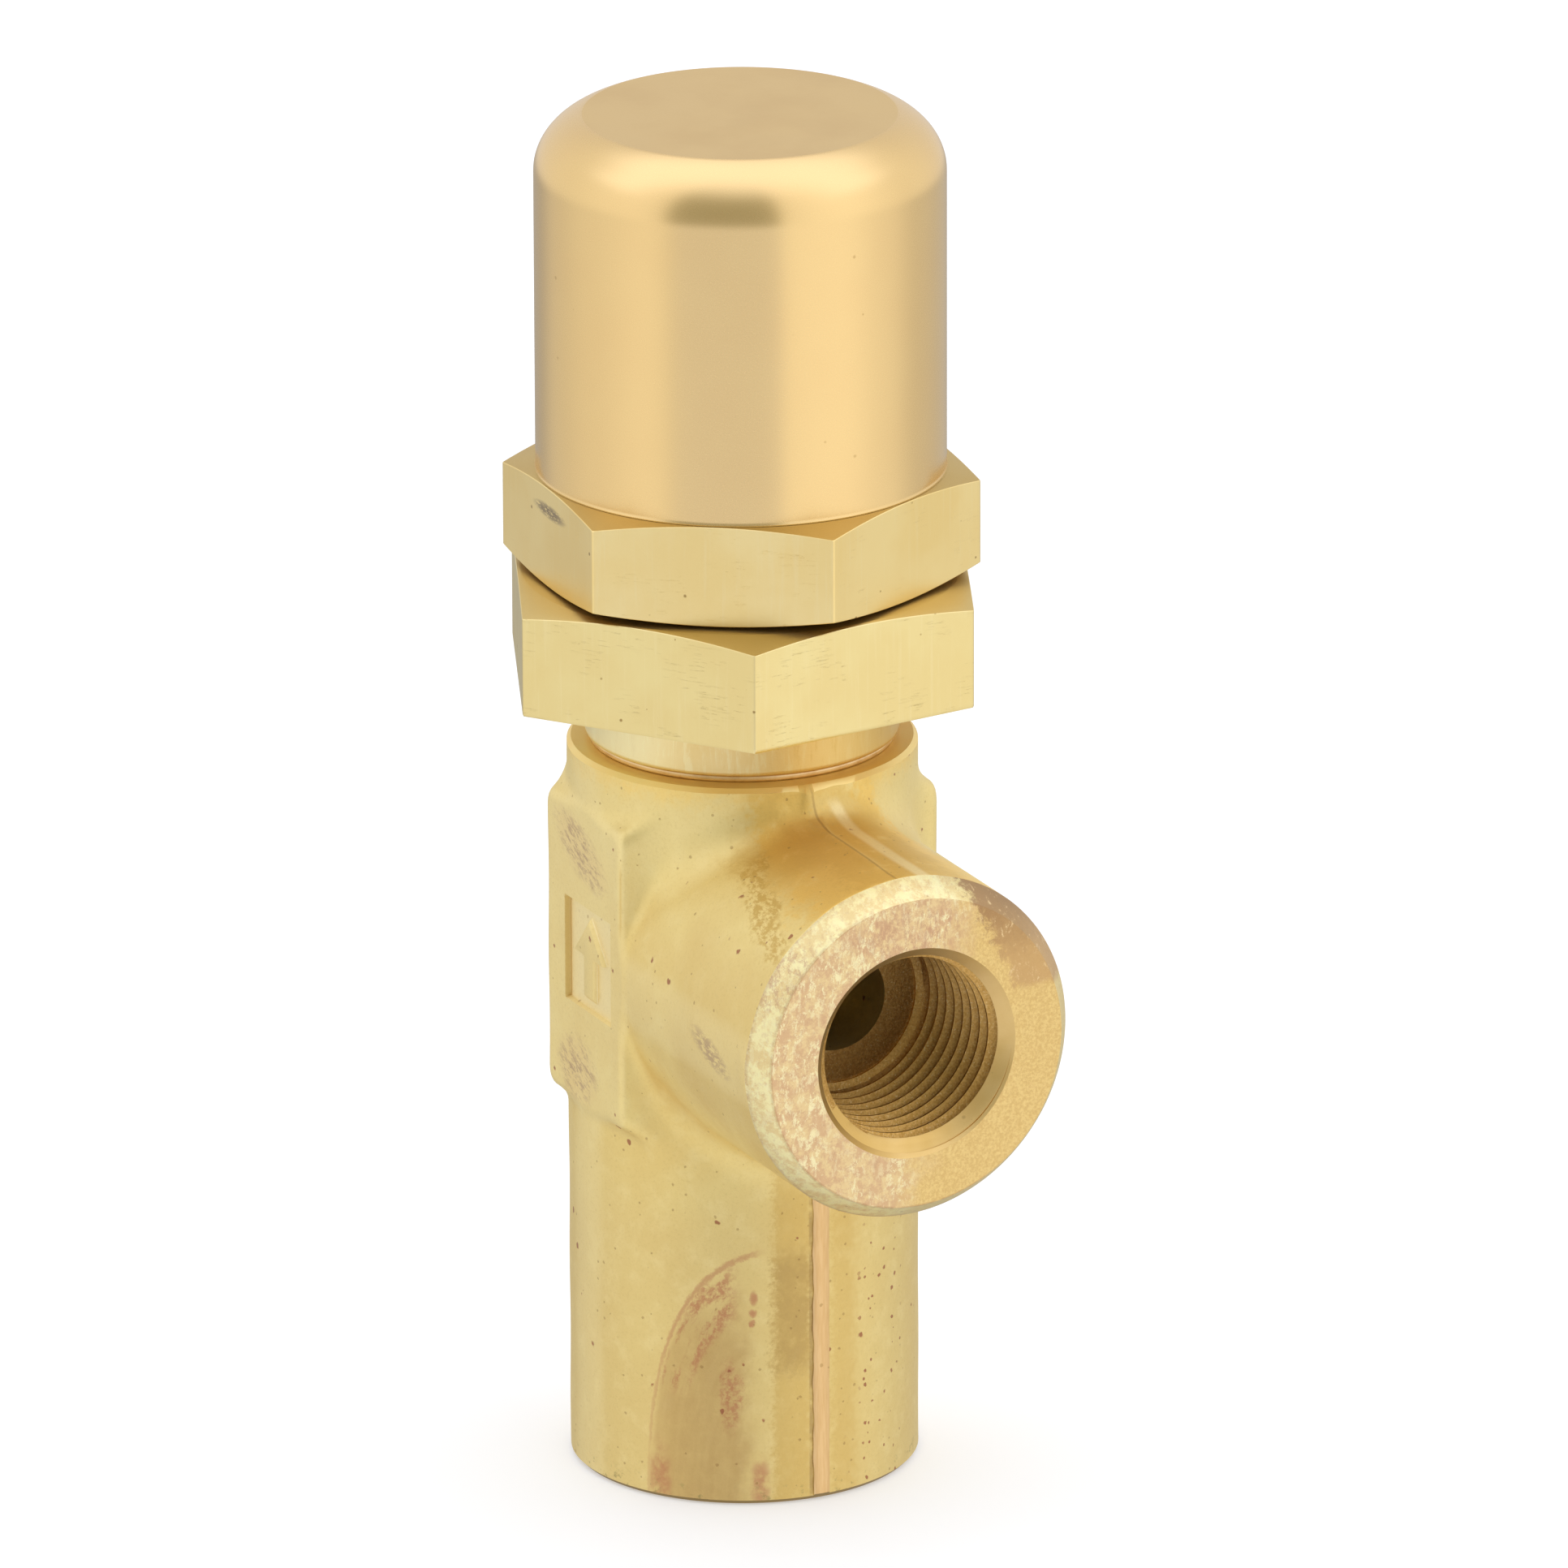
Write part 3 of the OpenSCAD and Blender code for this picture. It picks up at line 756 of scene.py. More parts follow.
# ---------------------------------------------------------------- materials
class Shade(Tree):
    """A procedural material under construction. Its patterns are measured in millimetres on the part."""

    def __init__(self, name, metallic=1.0):
        self.material = bpy.data.materials.new(name)
        self.material.use_nodes = True
        super().__init__(self.material.node_tree)
        self.bsdf = self.nodes["Principled BSDF"]
        self.bsdf.inputs["Metallic"].default_value = metallic
        place = self.add("TexCoord").outputs["Object"]
        scale = self.add("VectorMath", place, operation="SCALE")
        scale.inputs["Scale"].default_value = 1 / MM
        self.at = scale.outputs[0]
        self.x, self.y, self.z = self.add("SeparateXYZ", self.at).outputs

    def cover(self, where, tone):
        """Mixes a tone into the colour where the factor is 1."""
        self.colour = self.mix(where, self.colour, tone)

    def tint(self, where, share, tone):
        """Mixes a share of a tone into the colour where the factor is 1."""
        self.cover(self.times(where, share), tone)

    def vector(self, x, y, z):
        return self.add("CombineXYZ", x, y, z).outputs[0]

    def stretched(self, x, y, z):
        """The position with each axis multiplied."""
        node = self.add("VectorMath", self.at, operation="MULTIPLY")
        node.inputs[1].default_value = (x, y, z)
        return node.outputs[0]

    def noise(self, per_mm, detail=3.0, roughness=0.5, at=None, twist=0.0):
        node = self.add("TexNoise", self.at if at is None else at)
        for name, number in zip(("Scale", "Detail", "Roughness", "Distortion"),
                (per_mm, detail, roughness, twist)):
            node.inputs[name].default_value = number
        return node.outputs["Fac"]

    def cells(self, per_mm):
        """Distance to the nearest scattered point, and a random value for that point."""
        node = self.add("TexVoronoi", self.at)
        node.inputs["Scale"].default_value = per_mm
        return node.outputs["Distance"], node.outputs["Color"]

    def step(self, value, low_edge, high_edge):
        """0 below low_edge and 1 above high_edge, smooth between. The edges may be swapped."""
        node = self.add("MapRange", value, interpolation_type="SMOOTHSTEP")
        rising = high_edge > low_edge
        ends = (low_edge, high_edge, 0.0, 1.0) if rising else (high_edge, low_edge, 1.0, 0.0)
        for name, number in zip(("From Min", "From Max", "To Min", "To Max"), ends):
            node.inputs[name].default_value = number
        return node.outputs["Result"]

    def within(self, value, start, end, soft):
        return self.times(self.step(value, start - soft, start + soft),
            self.step(value, end + soft, end - soft))

    def both(self, *factors):
        out = factors[0]
        for f in factors[1:]:
            out = self.times(out, f)
        return out

    def most(self, *factors):
        out = factors[0]
        for f in factors[1:]:
            out = self.maths("MAXIMUM", out, f)
        return out

    def spot(self, centre, size, axes):
        """1 at the centre of an oval, falling to 0 at its edge. Centre and size refer to axes."""
        total = 0.0
        for value, middle, radius in zip(axes, centre, size):
            along = self.maths("DIVIDE", self.minus(value, middle), radius)
            total = self.line(along, along, total)
        return self.step(total, 1.0, 0.0)

    def specks(self, per_mm, share, size, ragged=0.25):
        """Scattered small pits: share of the points that show, and their radius in cell widths."""
        wobble = self.noise(per_mm * 3, 2.0)
        distance, random = self.cells(per_mm)
        distance = self.line(self.minus(wobble, 0.5), ragged, distance)
        pick = self.add("SeparateColor", random)
        shown = self.step(pick.outputs["Red"], share + 0.01, share - 0.01)
        radius = self.line(pick.outputs["Green"], size * 0.7, size * 0.45)
        near = self.minus(radius, distance)
        return self.both(shown, self.step(near, -0.015, 0.04))

    def turned(self, amount):
        """Stretches reflections across the tool marks of a piece that was turned about Z."""
        node = self.add("Tangent", direction_type="RADIAL", axis="Z")
        self.links.new(node.outputs["Tangent"], self.bsdf.inputs["Tangent"])
        self.bsdf.inputs["Anisotropic"].default_value = amount
        self.bsdf.inputs["Anisotropic Rotation"].default_value = 0.25

    def finish(self, rough, height=None, depth=0.02):
        """Connects the shader. depth is the relief in millimetres for a height from 0 to 1."""
        self.feed(self.bsdf.inputs["Base Color"], self.colour)
        self.feed(self.bsdf.inputs["Roughness"], rough)
        if height is not None:
            node = self.add("Bump")
            node.inputs["Distance"].default_value = depth * MM
            node.inputs["Strength"].default_value = 1.0
            self.links.new(height, node.inputs["Height"])
            self.links.new(node.outputs["Normal"], self.bsdf.inputs["Normal"])
        return self.material


LEMON = (0.86, 0.68, 0.27)
STRAW = (0.80, 0.60, 0.22)
AMBER = (0.62, 0.39, 0.085)
HONEY = (0.93, 0.66, 0.20)
UMBER = (0.40, 0.24, 0.08)
OXIDE = (0.34, 0.10, 0.05)
PLUM = (0.42, 0.26, 0.17)


class Forging(Shade):
    """The forging's shade, with the patterns that several of its stains share."""

    def __init__(self):
        super().__init__("forged_brass", metallic=0.75)
        self.middle = self.noise(0.45, 4, 0.6)
        self.fine = self.noise(2.2, 4, 0.65)
        self.around = self.times(self.maths("ARCTAN2", self.y, self.x), BODY_R)
        above_axis = self.minus(self.z, OUTLET_Z)
        self.over = self.times(self.maths("ARCTAN2", self.y, above_axis), BOSS_R)
        self.wander = self.times(self.minus(self.noise(0.35, 4, 0.6), 0.5), 5.0)
        self.ragged = self.times(self.minus(self.noise(1.6, 5, 0.7), 0.5), 3.0)
        self.front = self.step(self.x, 6.0, 12.0)
        self.high = self.step(self.z, 58.0, 62.0)

    def edge(self, value):
        """A distance made uneven, for a stain's ragged edge."""
        return self.plus(self.plus(value, self.wander), self.ragged)


def tarnish(s):
    """Amber tarnish over the boss's crown and below the neck, with a darker run down the boss's left, and
    painted shade on the boss's lower left flank.
    """
    crown = s.both(s.within(s.edge(s.over), -10.5, 6.0, 1.6),
        s.within(s.plus(s.x, s.wander), 16.5, 37.0, 1.6), s.high)
    worn = s.both(s.within(s.edge(s.over), -10.0, -5.0, 1.0), s.step(s.plus(s.x, s.ragged), 25.0, 29.0))
    rubbed = s.step(s.noise(1.5, 6, 0.75, at=s.stretched(0.6, 1.0, 1.0)), 0.42, 0.56)
    run = s.line(s.minus(s.x, 21.0), 0.42, s.plus(s.edge(s.over), 9.6))
    run = s.both(s.within(run, -1.7, 1.7, 0.7), s.within(s.x, 19.5, 36.0, 1.5), s.step(s.z, 54.0, 57.0))
    root = s.both(s.within(s.edge(s.around), -5.6, 6.5, 1.6), s.within(s.edge(s.z), 68.0, 72.5, 1.5), s.front)
    below_neck = s.both(s.most(s.within(s.edge(s.around), -6.5, -1.5, 0.8),
        s.within(s.edge(s.around), 3.6, 6.4, 0.6)), s.step(s.z, 68.0, 70.0), s.front)
    crown = s.line(worn, -0.28, s.times(crown, 0.46))
    s.cover(s.both(s.most(root, below_neck), s.step(s.middle, 0.1, 0.45)), HONEY)
    lip = s.both(s.step(s.edge(s.z), 72.2, 75.6), s.step(s.middle, 0.2, 0.5))
    s.tint(lip, 0.7, HONEY)
    s.cover(s.both(crown, s.step(s.middle, 0.15, 0.5)), AMBER)
    s.tint(s.both(run, rubbed), 0.75, AMBER)
    # painted shade: the boss's lower left flank is darkened brown
    painted_shade_flank = s.both(s.within(s.edge(s.over), -36.0, -17.0, 3.5), s.step(s.x, 17.0, 22.0))
    s.tint(painted_shade_flank, 0.36, (0.66, 0.45, 0.15))


def amber_bands(s):
    """Amber bands beside the sheared line, a smoky patch, and a painted shadow line along the sheared strip's
    left edge.
    """
    strip_side, low_down = s.plus(s.around, s.ragged), s.step(s.z, 40.0, 34.0)
    beside = s.both(s.within(strip_side, -5.0, -1.2, 0.6), low_down, s.front)
    right = s.both(s.within(strip_side, 1.0, 4.0, 1.0), low_down, s.front)
    smoke = s.both(s.within(strip_side, -5.0, -1.2, 0.8), s.within(s.plus(s.z, s.ragged), 14.0, 26.5, 1.6),
        s.front)
    bands = s.most(s.times(beside, 0.50), s.times(right, 0.42))
    s.cover(s.both(bands, s.step(s.middle, 0.1, 0.5)), AMBER)
    s.cover(s.both(smoke, s.line(s.step(s.middle, 0.25, 0.6), 0.30, 0.18)), UMBER)
    # painted shadow: a thin dark line along the raised sheared strip's left edge
    painted_strip_shadow = s.both(s.within(s.around, -1.35, -0.95, 0.10), s.step(s.z, 36.0, 32.0),
        s.step(s.middle, 0.30, 0.55), s.front)
    s.tint(painted_strip_shadow, 0.6, UMBER)


def scale_fan(s):
    """The fan of brown scale low on the front, inside an arc, with red streaks along the arc."""
    lean = s.maths("POWER", s.maths("DIVIDE", s.maths("ABSOLUTE", s.plus(s.around, 4.0)), 14.2), 2.3)
    tall = s.maths("POWER", s.maths("DIVIDE", s.z, 27.0), 2.3)
    reach = s.maths("POWER", s.plus(lean, tall), 1 / 2.3)
    reach = s.line(s.ragged, 0.016, reach)
    left_half = s.both(s.step(s.around, -5.5, -8.0), s.front)
    streaks = s.noise(0.9, 5, 0.7, at=s.vector(s.times(reach, 16.0), s.times(s.around, 0.30),
        s.times(s.z, 0.10)))
    low_part = s.step(s.plus(s.z, s.wander), 25.5, 16.0)
    scale = s.both(s.step(reach, 1.01, 0.94), left_half, s.step(s.plus(s.around, s.wander), -6.0, -9.5),
        low_part)
    cloudy = s.line(s.step(streaks, 0.35, 0.7), 0.14, s.line(s.step(s.middle, 0.25, 0.65), 0.22, 0.44))
    s.cover(s.both(scale, cloudy), (0.54, 0.335, 0.115))
    rim = s.both(s.step(s.maths("ABSOLUTE", s.minus(reach, 0.995)), 0.018, 0.004), left_half,
        s.step(s.middle, 0.25, 0.5))
    comb = s.both(s.within(reach, 0.78, 0.99, 0.02), s.within(s.z, 12.0, 25.0, 1.5),
        s.step(s.around, -8.0, -10.0), s.step(streaks, 0.44, 0.57), s.step(s.fine, 0.30, 0.56), s.front)
    foot_red = s.both(s.spot((-16.8, 2.0), (1.6, 5.5), (s.around, s.z)), s.step(s.middle, 0.3, 0.6))
    foot_red = s.most(foot_red, s.both(s.spot((-6.4, 2.2), (1.3, 3.5), (s.around, s.z)),
        s.step(s.middle, 0.35, 0.6)))
    heart = s.both(s.spot((-9.3, 11.5), (1.4, 4.8), (s.plus(s.around, s.ragged), s.z)),
        s.step(s.fine, 0.36, 0.62))
    frayed = (s.line(s.ragged, 0.25, s.around), s.line(s.ragged, 0.25, s.z))
    drops = s.most(s.spot((-7.0, 21.9), (0.5, 1.0), frayed), s.spot((-7.1, 20.3), (0.5, 0.6), frayed),
        s.spot((-7.2, 19.2), (0.4, 0.5), frayed))
    red = s.most(s.times(rim, 0.75), comb, foot_red, heart, drops)
    s.tint(red, 0.72, (0.52, 0.20, 0.10))


def pad_marks(s):
    """Brown-violet mottling on the pads, a smudge on the boss, and painted shade on the sunk panel's left
    wall and in the crease along the pad's edge.
    """
    on_pad = s.step(s.maths("ABSOLUTE", s.y), PAD_Y - 0.6, PAD_Y - 0.2)
    down = s.line(s.z, -0.40, s.times(s.x, 0.92))
    across = s.line(s.z, 0.92, s.times(s.x, 0.40))
    strokes = s.step(s.noise(1.0, 6, 0.8, at=s.vector(s.times(down, 0.55), s.times(across, 1.7), s.y)),
        0.47, 0.60)
    upper = s.spot((-26.7, 59.9), (7.5, 3.2), (down, across))
    lower = s.spot((-1.5, 42.2), (5.5, 4.2), (s.x, s.z))
    veil = s.both(on_pad, s.most(upper, lower))
    pads = s.both(veil, strokes)
    smudge = s.both(s.spot((28.3, -20.0), (5.2, 1.7), (s.x, s.line(s.x, 0.28, s.over))),
        s.step(s.noise(1.6, 6, 0.75, at=s.stretched(0.6, 1.4, 1.4)), 0.43, 0.56))
    s.tint(on_pad, 0.35, (0.93, 0.78, 0.40))
    s.tint(veil, 0.22, (0.72, 0.48, 0.27))
    sunk = s.both(s.within(s.y, PANEL_DEPTH - PAD_Y - 0.1, PANEL_DEPTH - PAD_Y + 0.1, 0.05),
        s.within(s.x, PANEL_X - 6, PANEL_X + 6, 0.3), s.within(s.z, PANEL_Z - 6, PANEL_Z + 6, 0.3))
    s.tint(sunk, 0.55, (0.96, 0.83, 0.50))
    # painted shade: amber darkening on the sunk panel's left wall and in the crease along the pad's edge
    left = PANEL_X - PANEL_W / 2
    painted_recess_shade = s.both(s.within(s.line(s.ragged, 0.06, s.x), left - 0.30, left + 0.25, 0.12),
        s.within(s.z, PANEL_Z - PANEL_H / 2 - 0.2, PANEL_Z + PANEL_H / 2 + 0.2, 0.3),
        s.step(s.y, 0.0, -5.0))
    painted_crease_shade = s.both(s.within(s.x, PAD_X - 0.28, PAD_X - 0.05, 0.12), s.within(s.z, 59.5, 66.0, 1.0),
        s.step(s.y, 0.0, -5.0))
    s.tint(s.most(painted_recess_shade, s.times(painted_crease_shade, 0.6)), 0.7, AMBER)
    s.tint(s.most(pads, smudge), 0.66, PLUM)


def seam_marks(s):
    """The fine lines where the dies met, above the boss and along its top, a painted highlight on the ridge
    beside the seam above the boss, and the singed end.
    """
    seam = s.line(s.ragged, 0.05, s.y)
    seam_above = s.both(s.within(seam, -1.12, -0.90, 0.07), s.within(s.z, 71.0, BODY_TOP - 2.4, 0.6), s.front)
    seam_along = s.both(s.within(seam, -1.15, -0.90, 0.07), s.within(s.x, 17.5, 36.0, 0.8), s.high)
    # painted highlight: a pale flame-shaped band on the ridge beside the seam above the boss
    painted_ridge_highlight = s.both(s.within(s.line(s.z, 0.30, s.plus(s.y, -22.6)), 0.0, 1.3, 0.35),
        s.within(s.z, 70.2, BODY_TOP - 2.0, 0.8), s.front)
    s.tint(painted_ridge_highlight, 0.75, (0.97, 0.83, 0.46))
    s.tint(s.most(seam_above, seam_along), 0.55, UMBER)
    singed = s.both(s.step(s.plus(s.x, s.ragged), 35.0, 37.5), s.step(s.plus(s.y, s.ragged), 4.5, 7.0),
        s.step(s.z, 57.5, 60.0))
    s.tint(singed, 0.6, (0.58, 0.35, 0.19))


def forged_brass():
    """Blast-cleaned forging brass with amber tarnish, red scale stains, dark pits and brown mottling."""
    s = Forging()
    s.colour = s.mix(s.step(s.noise(0.09, 3), 0.35, 0.65), LEMON, STRAW)
    s.tint(s.step(s.z, 52.0, 72.0), 0.55, (0.90, 0.75, 0.35))
    s.tint(s.step(s.z, 40.0, 26.0), 0.7, (0.76, 0.58, 0.235))
    s.tint(s.step(s.middle, 0.45, 0.75), 0.30, (0.93, 0.78, 0.38))
    for marks in (tarnish, amber_bands, scale_fan, pad_marks, seam_marks):
        marks(s)
    # pits, thicker on the right of the stem
    pits = s.specks(0.36, 0.6, 0.10, 0.4)
    thick = s.both(s.specks(1.1, 0.42, 0.24, 0.4), s.within(s.edge(s.around), 4.0, 11.5, 1.5),
        s.step(s.z, 30.0, 25.0), s.front)
    pores = s.specks(1.0, 0.30, 0.16)
    s.tint(s.most(pits, thick), 0.82, OXIDE)
    s.tint(pores, 0.5, (0.36, 0.21, 0.07))
    sandy = s.step(s.noise(3.2, 6, 0.8), 0.50, 0.66)
    s.tint(sandy, 0.16, (0.50, 0.33, 0.10))
    foot_spots = s.both(s.step(s.z, 2.6, 0.9), s.step(s.noise(0.75, 5, 0.7), 0.56, 0.66))
    s.tint(foot_spots, 0.6, (0.30, 0.24, 0.08))
    grain = s.noise(5.0, 3, 0.6)
    rough = s.line(s.fine, 0.16, 0.42)
    height = s.line(s.fine, 0.6, s.times(grain, 0.4))
    height = s.minus(height, s.times(s.most(pits, pores), 0.8))
    return s.finish(rough, height, 0.030)


def sheared_strip():
    s = Shade("sheared_flash")
    drag = s.noise(1.0, 4, 0.6, at=s.stretched(1.0, 5.0, 0.35))
    s.colour = s.mix(s.step(drag, 0.3, 0.7), (0.80, 0.54, 0.26), (0.72, 0.46, 0.20))
    specks = s.specks(0.8, 0.25, 0.15)
    s.tint(specks, 0.5, UMBER)
    return s.finish(0.42, drag, 0.02)


def boss_end(name, skin_tones, sandy, fleck_tone, flecks, stains, scorch):
    """A cut face with a skin of pink-brown scale, and bright flecks rubbed through on its worn side."""
    s = Shade(name, metallic=0.85)
    high_up = s.minus(s.z, OUTLET_Z)
    from_axis = s.maths("SQRT", s.line(s.y, s.y, s.times(high_up, high_up)))
    drift = s.times(s.minus(s.noise(0.35, 4, 0.6), 0.5), 9.0)
    side = s.plus(s.line(high_up, -0.2, s.y), drift)
    worn = s.step(side, 5.0, -0.5)
    cloud = s.noise(0.6, 6, 0.72)
    grain = s.noise(3.6, 4, 0.7)
    skin = s.mix(s.step(cloud, 0.42, 0.57), *skin_tones)
    sand = s.mix(s.step(grain, 0.36, 0.66), *sandy)
    s.colour = s.mix(worn, sand, skin)
    rub = s.noise(0.95, 8, 0.85, at=s.stretched(1, 1.3, 0.75), twist=0.3)
    patchy = s.step(s.noise(0.28, 3), 0.36, 0.60)
    shine = s.both(s.step(rub, 0.515, 0.55), s.times(worn, s.line(patchy, 0.6, 0.4)))
    s.tint(shine, flecks, fleck_tone)
    dark = s.both(s.step(s.noise(1.4, 7, 0.85), 0.535, 0.60), s.line(worn, 0.6, 0.10))
    s.tint(dark, stains, (0.56, 0.31, 0.19))
    rims = s.most(s.step(s.maths("ABSOLUTE", s.minus(from_axis, END_FLAT_R)), 0.22, 0.02),
        s.step(from_axis, BOSS_R - 0.30, BOSS_R - 0.06))
    rims = s.both(rims, s.step(s.line(high_up, 0.5, s.y), 5.0, -3.0),
        s.step(s.noise(0.9, 4, 0.7), 0.38, 0.52))
    s.tint(rims, 1.1 * stains, (0.46, 0.24, 0.11))
    torn = s.times(s.minus(s.noise(0.9, 8, 0.8, twist=0.4), 0.5), 7.0)
    bruise = s.both(s.step(s.plus(s.line(high_up, 0.5, s.y), torn), 13.0, 14.2),
        s.step(s.line(torn, 0.3, high_up), 4.6, 5.6))
    tone = s.mix(s.step(s.plus(high_up, torn), 7.0, 14.5), (0.62, 0.38, 0.16), (0.40, 0.22, 0.10))
    tone = s.mix(s.step(rub, 0.56, 0.62), tone, (0.84, 0.62, 0.34))
    s.tint(bruise, 0.85, tone)
    smears = s.noise(1.1, 8, 0.85, at=s.stretched(1, 1.7, 0.6))
    blush = s.both(s.spot(*scorch, (s.y, high_up)), s.step(smears, 0.50, 0.56))
    s.tint(blush, 0.55, (0.55, 0.29, 0.18))
    pores = s.specks(1.0, 0.25, 0.14)
    s.tint(pores, 0.5, UMBER)
    rough = s.line(grain, 0.2, 0.34)
    height = s.line(grain, 0.6, s.times(rub, 0.8))
    return s.finish(rough, height, 0.07)


def tapped_brass():
    """Threads cut in rough brass: bright torn crests and dark roots."""
    s = Shade("tapped_brass")
    tear = s.noise(4.0, 5, 0.75)
    s.colour = s.mix(s.step(tear, 0.35, 0.68), (0.48, 0.26, 0.06), (0.72, 0.45, 0.14))
    glint = s.step(s.noise(6.0, 3, 0.6), 0.58, 0.68)
    s.tint(glint, 0.5, (0.95, 0.80, 0.45))
    rough = s.line(tear, 0.2, 0.30)
    return s.finish(rough, tear, 0.05)


def turned_brass(name, tone, deep, rough=0.28, rings=0.5, relief=0.006, blush=0.25, stretch=0.0,
        streaks=0.0, uneven=0.0):
    """Lathe-turned brass: fine rings along the axis, soft cloudy variation and, on a neck, drip streaks."""
    s = Shade(name)
    if stretch:
        s.turned(stretch)
    lines = s.noise(6.0, 4, 0.7, at=s.stretched(0.02, 0.02, 1.0))
    cloud = s.noise(0.12, 3)
    grain = s.noise(5.5, 3, 0.7)
    s.colour = s.mix(s.times(s.step(cloud, 0.35, 0.7), blush), tone, deep)
    s.tint(s.step(grain, 0.45, 0.75), 0.10, deep)
    if streaks:
        runs = s.noise(0.8, 7, 0.75, at=s.stretched(1.0, 1.0, 0.14), twist=0.3)
        s.tint(s.step(runs, 0.50, 0.60), streaks, (0.94, 0.86, 0.50))
        s.tint(s.step(runs, 0.44, 0.36), streaks, AMBER)
    if uneven:
        side = s.line(s.y, 0.90, s.times(s.x, 0.44))
        s.tint(s.step(side, 0.0, 13.0), uneven, (0.74, 0.46, 0.10))
        s.tint(s.step(side, -3.0, -12.0), uneven, (0.99, 0.93, 0.58))
    marks = s.specks(0.35, 0.3, 0.06, 0.1)
    s.tint(marks, 0.45, UMBER)
    gloss = s.line(lines, 0.16 * rings, rough - 0.08 * rings)
    gloss = s.line(grain, 0.06, gloss)
    height = s.line(lines, rings, s.times(grain, 1 - rings))
    return s.finish(gloss, height, relief)


SCUFF_X, SCUFF_Z, SCUFF_SLOPE = -0.7, 101.0, 0.0


def drawn_brass(name, tone, deep):
    """The flats of cold-drawn hexagon bar: pale, faintly streaked, with nicks, pores and scuffs."""
    s = Shade(name)
    streak = s.noise(1.6, 5, 0.65, at=s.stretched(1.0, 1.0, 0.05))
    cloud = s.noise(0.10, 3)
    fine = s.noise(3.5, 4, 0.7)
    s.colour = s.mix(s.step(cloud, 0.35, 0.65), tone, deep)
    s.tint(s.step(streak, 0.50, 0.75), 0.16, (0.95, 0.84, 0.52))
    nicks = s.specks(0.45, 0.55, 0.10, 0.12)
    s.tint(nicks, 0.8, (0.30, 0.17, 0.05))
    scratch = s.noise(1.0, 2, 0.5, at=s.stretched(0.35, 0.35, 6.0), twist=0.4)
    hair = s.both(s.within(scratch, 0.635, 0.645, 0.004), s.step(s.noise(0.25, 2), 0.52, 0.6))
    s.tint(hair, 0.35, (0.50, 0.36, 0.14))
    # a slanted grey scuff on one flat
    slant = s.line(s.x, SCUFF_SLOPE, s.z)
    aside = s.maths("DIVIDE", s.minus(s.x, SCUFF_X), 4.8)
    rubs = s.noise(1.5, 6, 0.8, at=s.stretched(0.5, 0.5, 1.8))
    scuff = s.both(s.spot((SCUFF_Z, 0.0), (0.85, 1.0), (slant, aside)), s.step(s.y, -17.0, -19.0),
        s.step(rubs, 0.40, 0.50))
    s.tint(scuff, 0.85, (0.20, 0.14, 0.10))
    rough = s.line(fine, 0.12, 0.28)
    height = s.line(streak, 0.5, s.times(fine, 0.5))
    height = s.minus(height, s.most(nicks, s.times(hair, 0.6)))
    return s.finish(rough, height, 0.012)


def machined(name, tone, dark, rough, relief=0.008):
    """A plain turned metal with fine rings, for steel and copper pieces."""
    s = Shade(name)
    rings = s.noise(6.0, 4, 0.7, at=s.stretched(0.05, 0.05, 1.0))
    stain = s.noise(0.6, 4, 0.6)
    s.colour = s.mix(s.step(stain, 0.4, 0.75), tone, dark)
    gloss = s.line(rings, 0.12, rough - 0.06)
    return s.finish(gloss, rings, relief)


def dull(name, tone, dark, rough, relief=0.02):
    """A non-metal with a fine fibrous or moulded grain."""
    s = Shade(name, metallic=0.0)
    grain = s.noise(3.0, 4, 0.65)
    s.colour = s.mix(s.step(grain, 0.35, 0.7), tone, dark)
    return s.finish(rough, grain, relief)


# ---------------------------------------------------------------- studio
def studio():
    """A white tent with a dimmer opening on the camera's side. It is fixed in the scene."""
    world = bpy.data.worlds.new("studio")
    bpy.context.scene.world = world
    world.use_nodes = True
    w = Tree(world.node_tree)
    turn = w.add("VectorRotate", w.add("TexCoord").outputs["Generated"], rotation_type="Z_AXIS")
    turn.inputs["Angle"].default_value = math.radians(90 - CAMERA_AZIMUTH)
    x, y, z = w.add("SeparateXYZ", turn.outputs["Vector"]).outputs
    around = w.line(w.maths("ARCTAN2", y, x), 1 / TURN, 0.5)
    height = w.line(w.maths("ARCSINE", z), 2 / TURN, 0.5)

    def azimuth(*stops):
        return w.ramp(around, [(0.5 + degrees / 360, value) for degrees, value in stops])

    def rise(start, end):
        return w.ramp(height, [(0.5 + start / 180, 0.0), (0.5 + end / 180, 1.0)])

    low_band = azimuth((-180, .42), (-150, .46), (-125, .74), (-93, .90), (-50, 1.08), (-44, 1.08),
        (-33, (1.03, 1.06, 1.19)), (22, (1.03, 1.06, 1.19)), (25, 1.19), (60, 1.20), (89, 1.0), (119, .70),
        (150, .60), (180, .42))
    middle = azimuth((-180, (.78, .77, .78)), (-120, .95), (-60, 1.14), (-46, 1.08), (-36, (.45, .45, .39)),
        (20, (.45, .45, .39)), (24, 1.12), (60, 1.25), (110, 1.0), (180, (.78, .77, .78)))
    front = azimuth((-80, 0.0), (-55, 1.0), (45, 1.0), (75, 0.0))
    behind = azimuth((-180, 1.0), (-125, 1.0), (-90, 0.0), (90, 0.0), (125, 1.0), (180, 1.0))
    above = w.mix(behind, rise(27, 38), rise(38, 60))
    above = w.mix(front, above, rise(36, 84))
    colour = w.mix(above, middle, (1.44, 1.49, 1.68))
    colour = w.mix(rise(-13, -9), low_band, colour)
    background = w.nodes["Background"]
    w.feed(background.inputs["Color"], colour)
    background.inputs["Strength"].default_value = 1.0


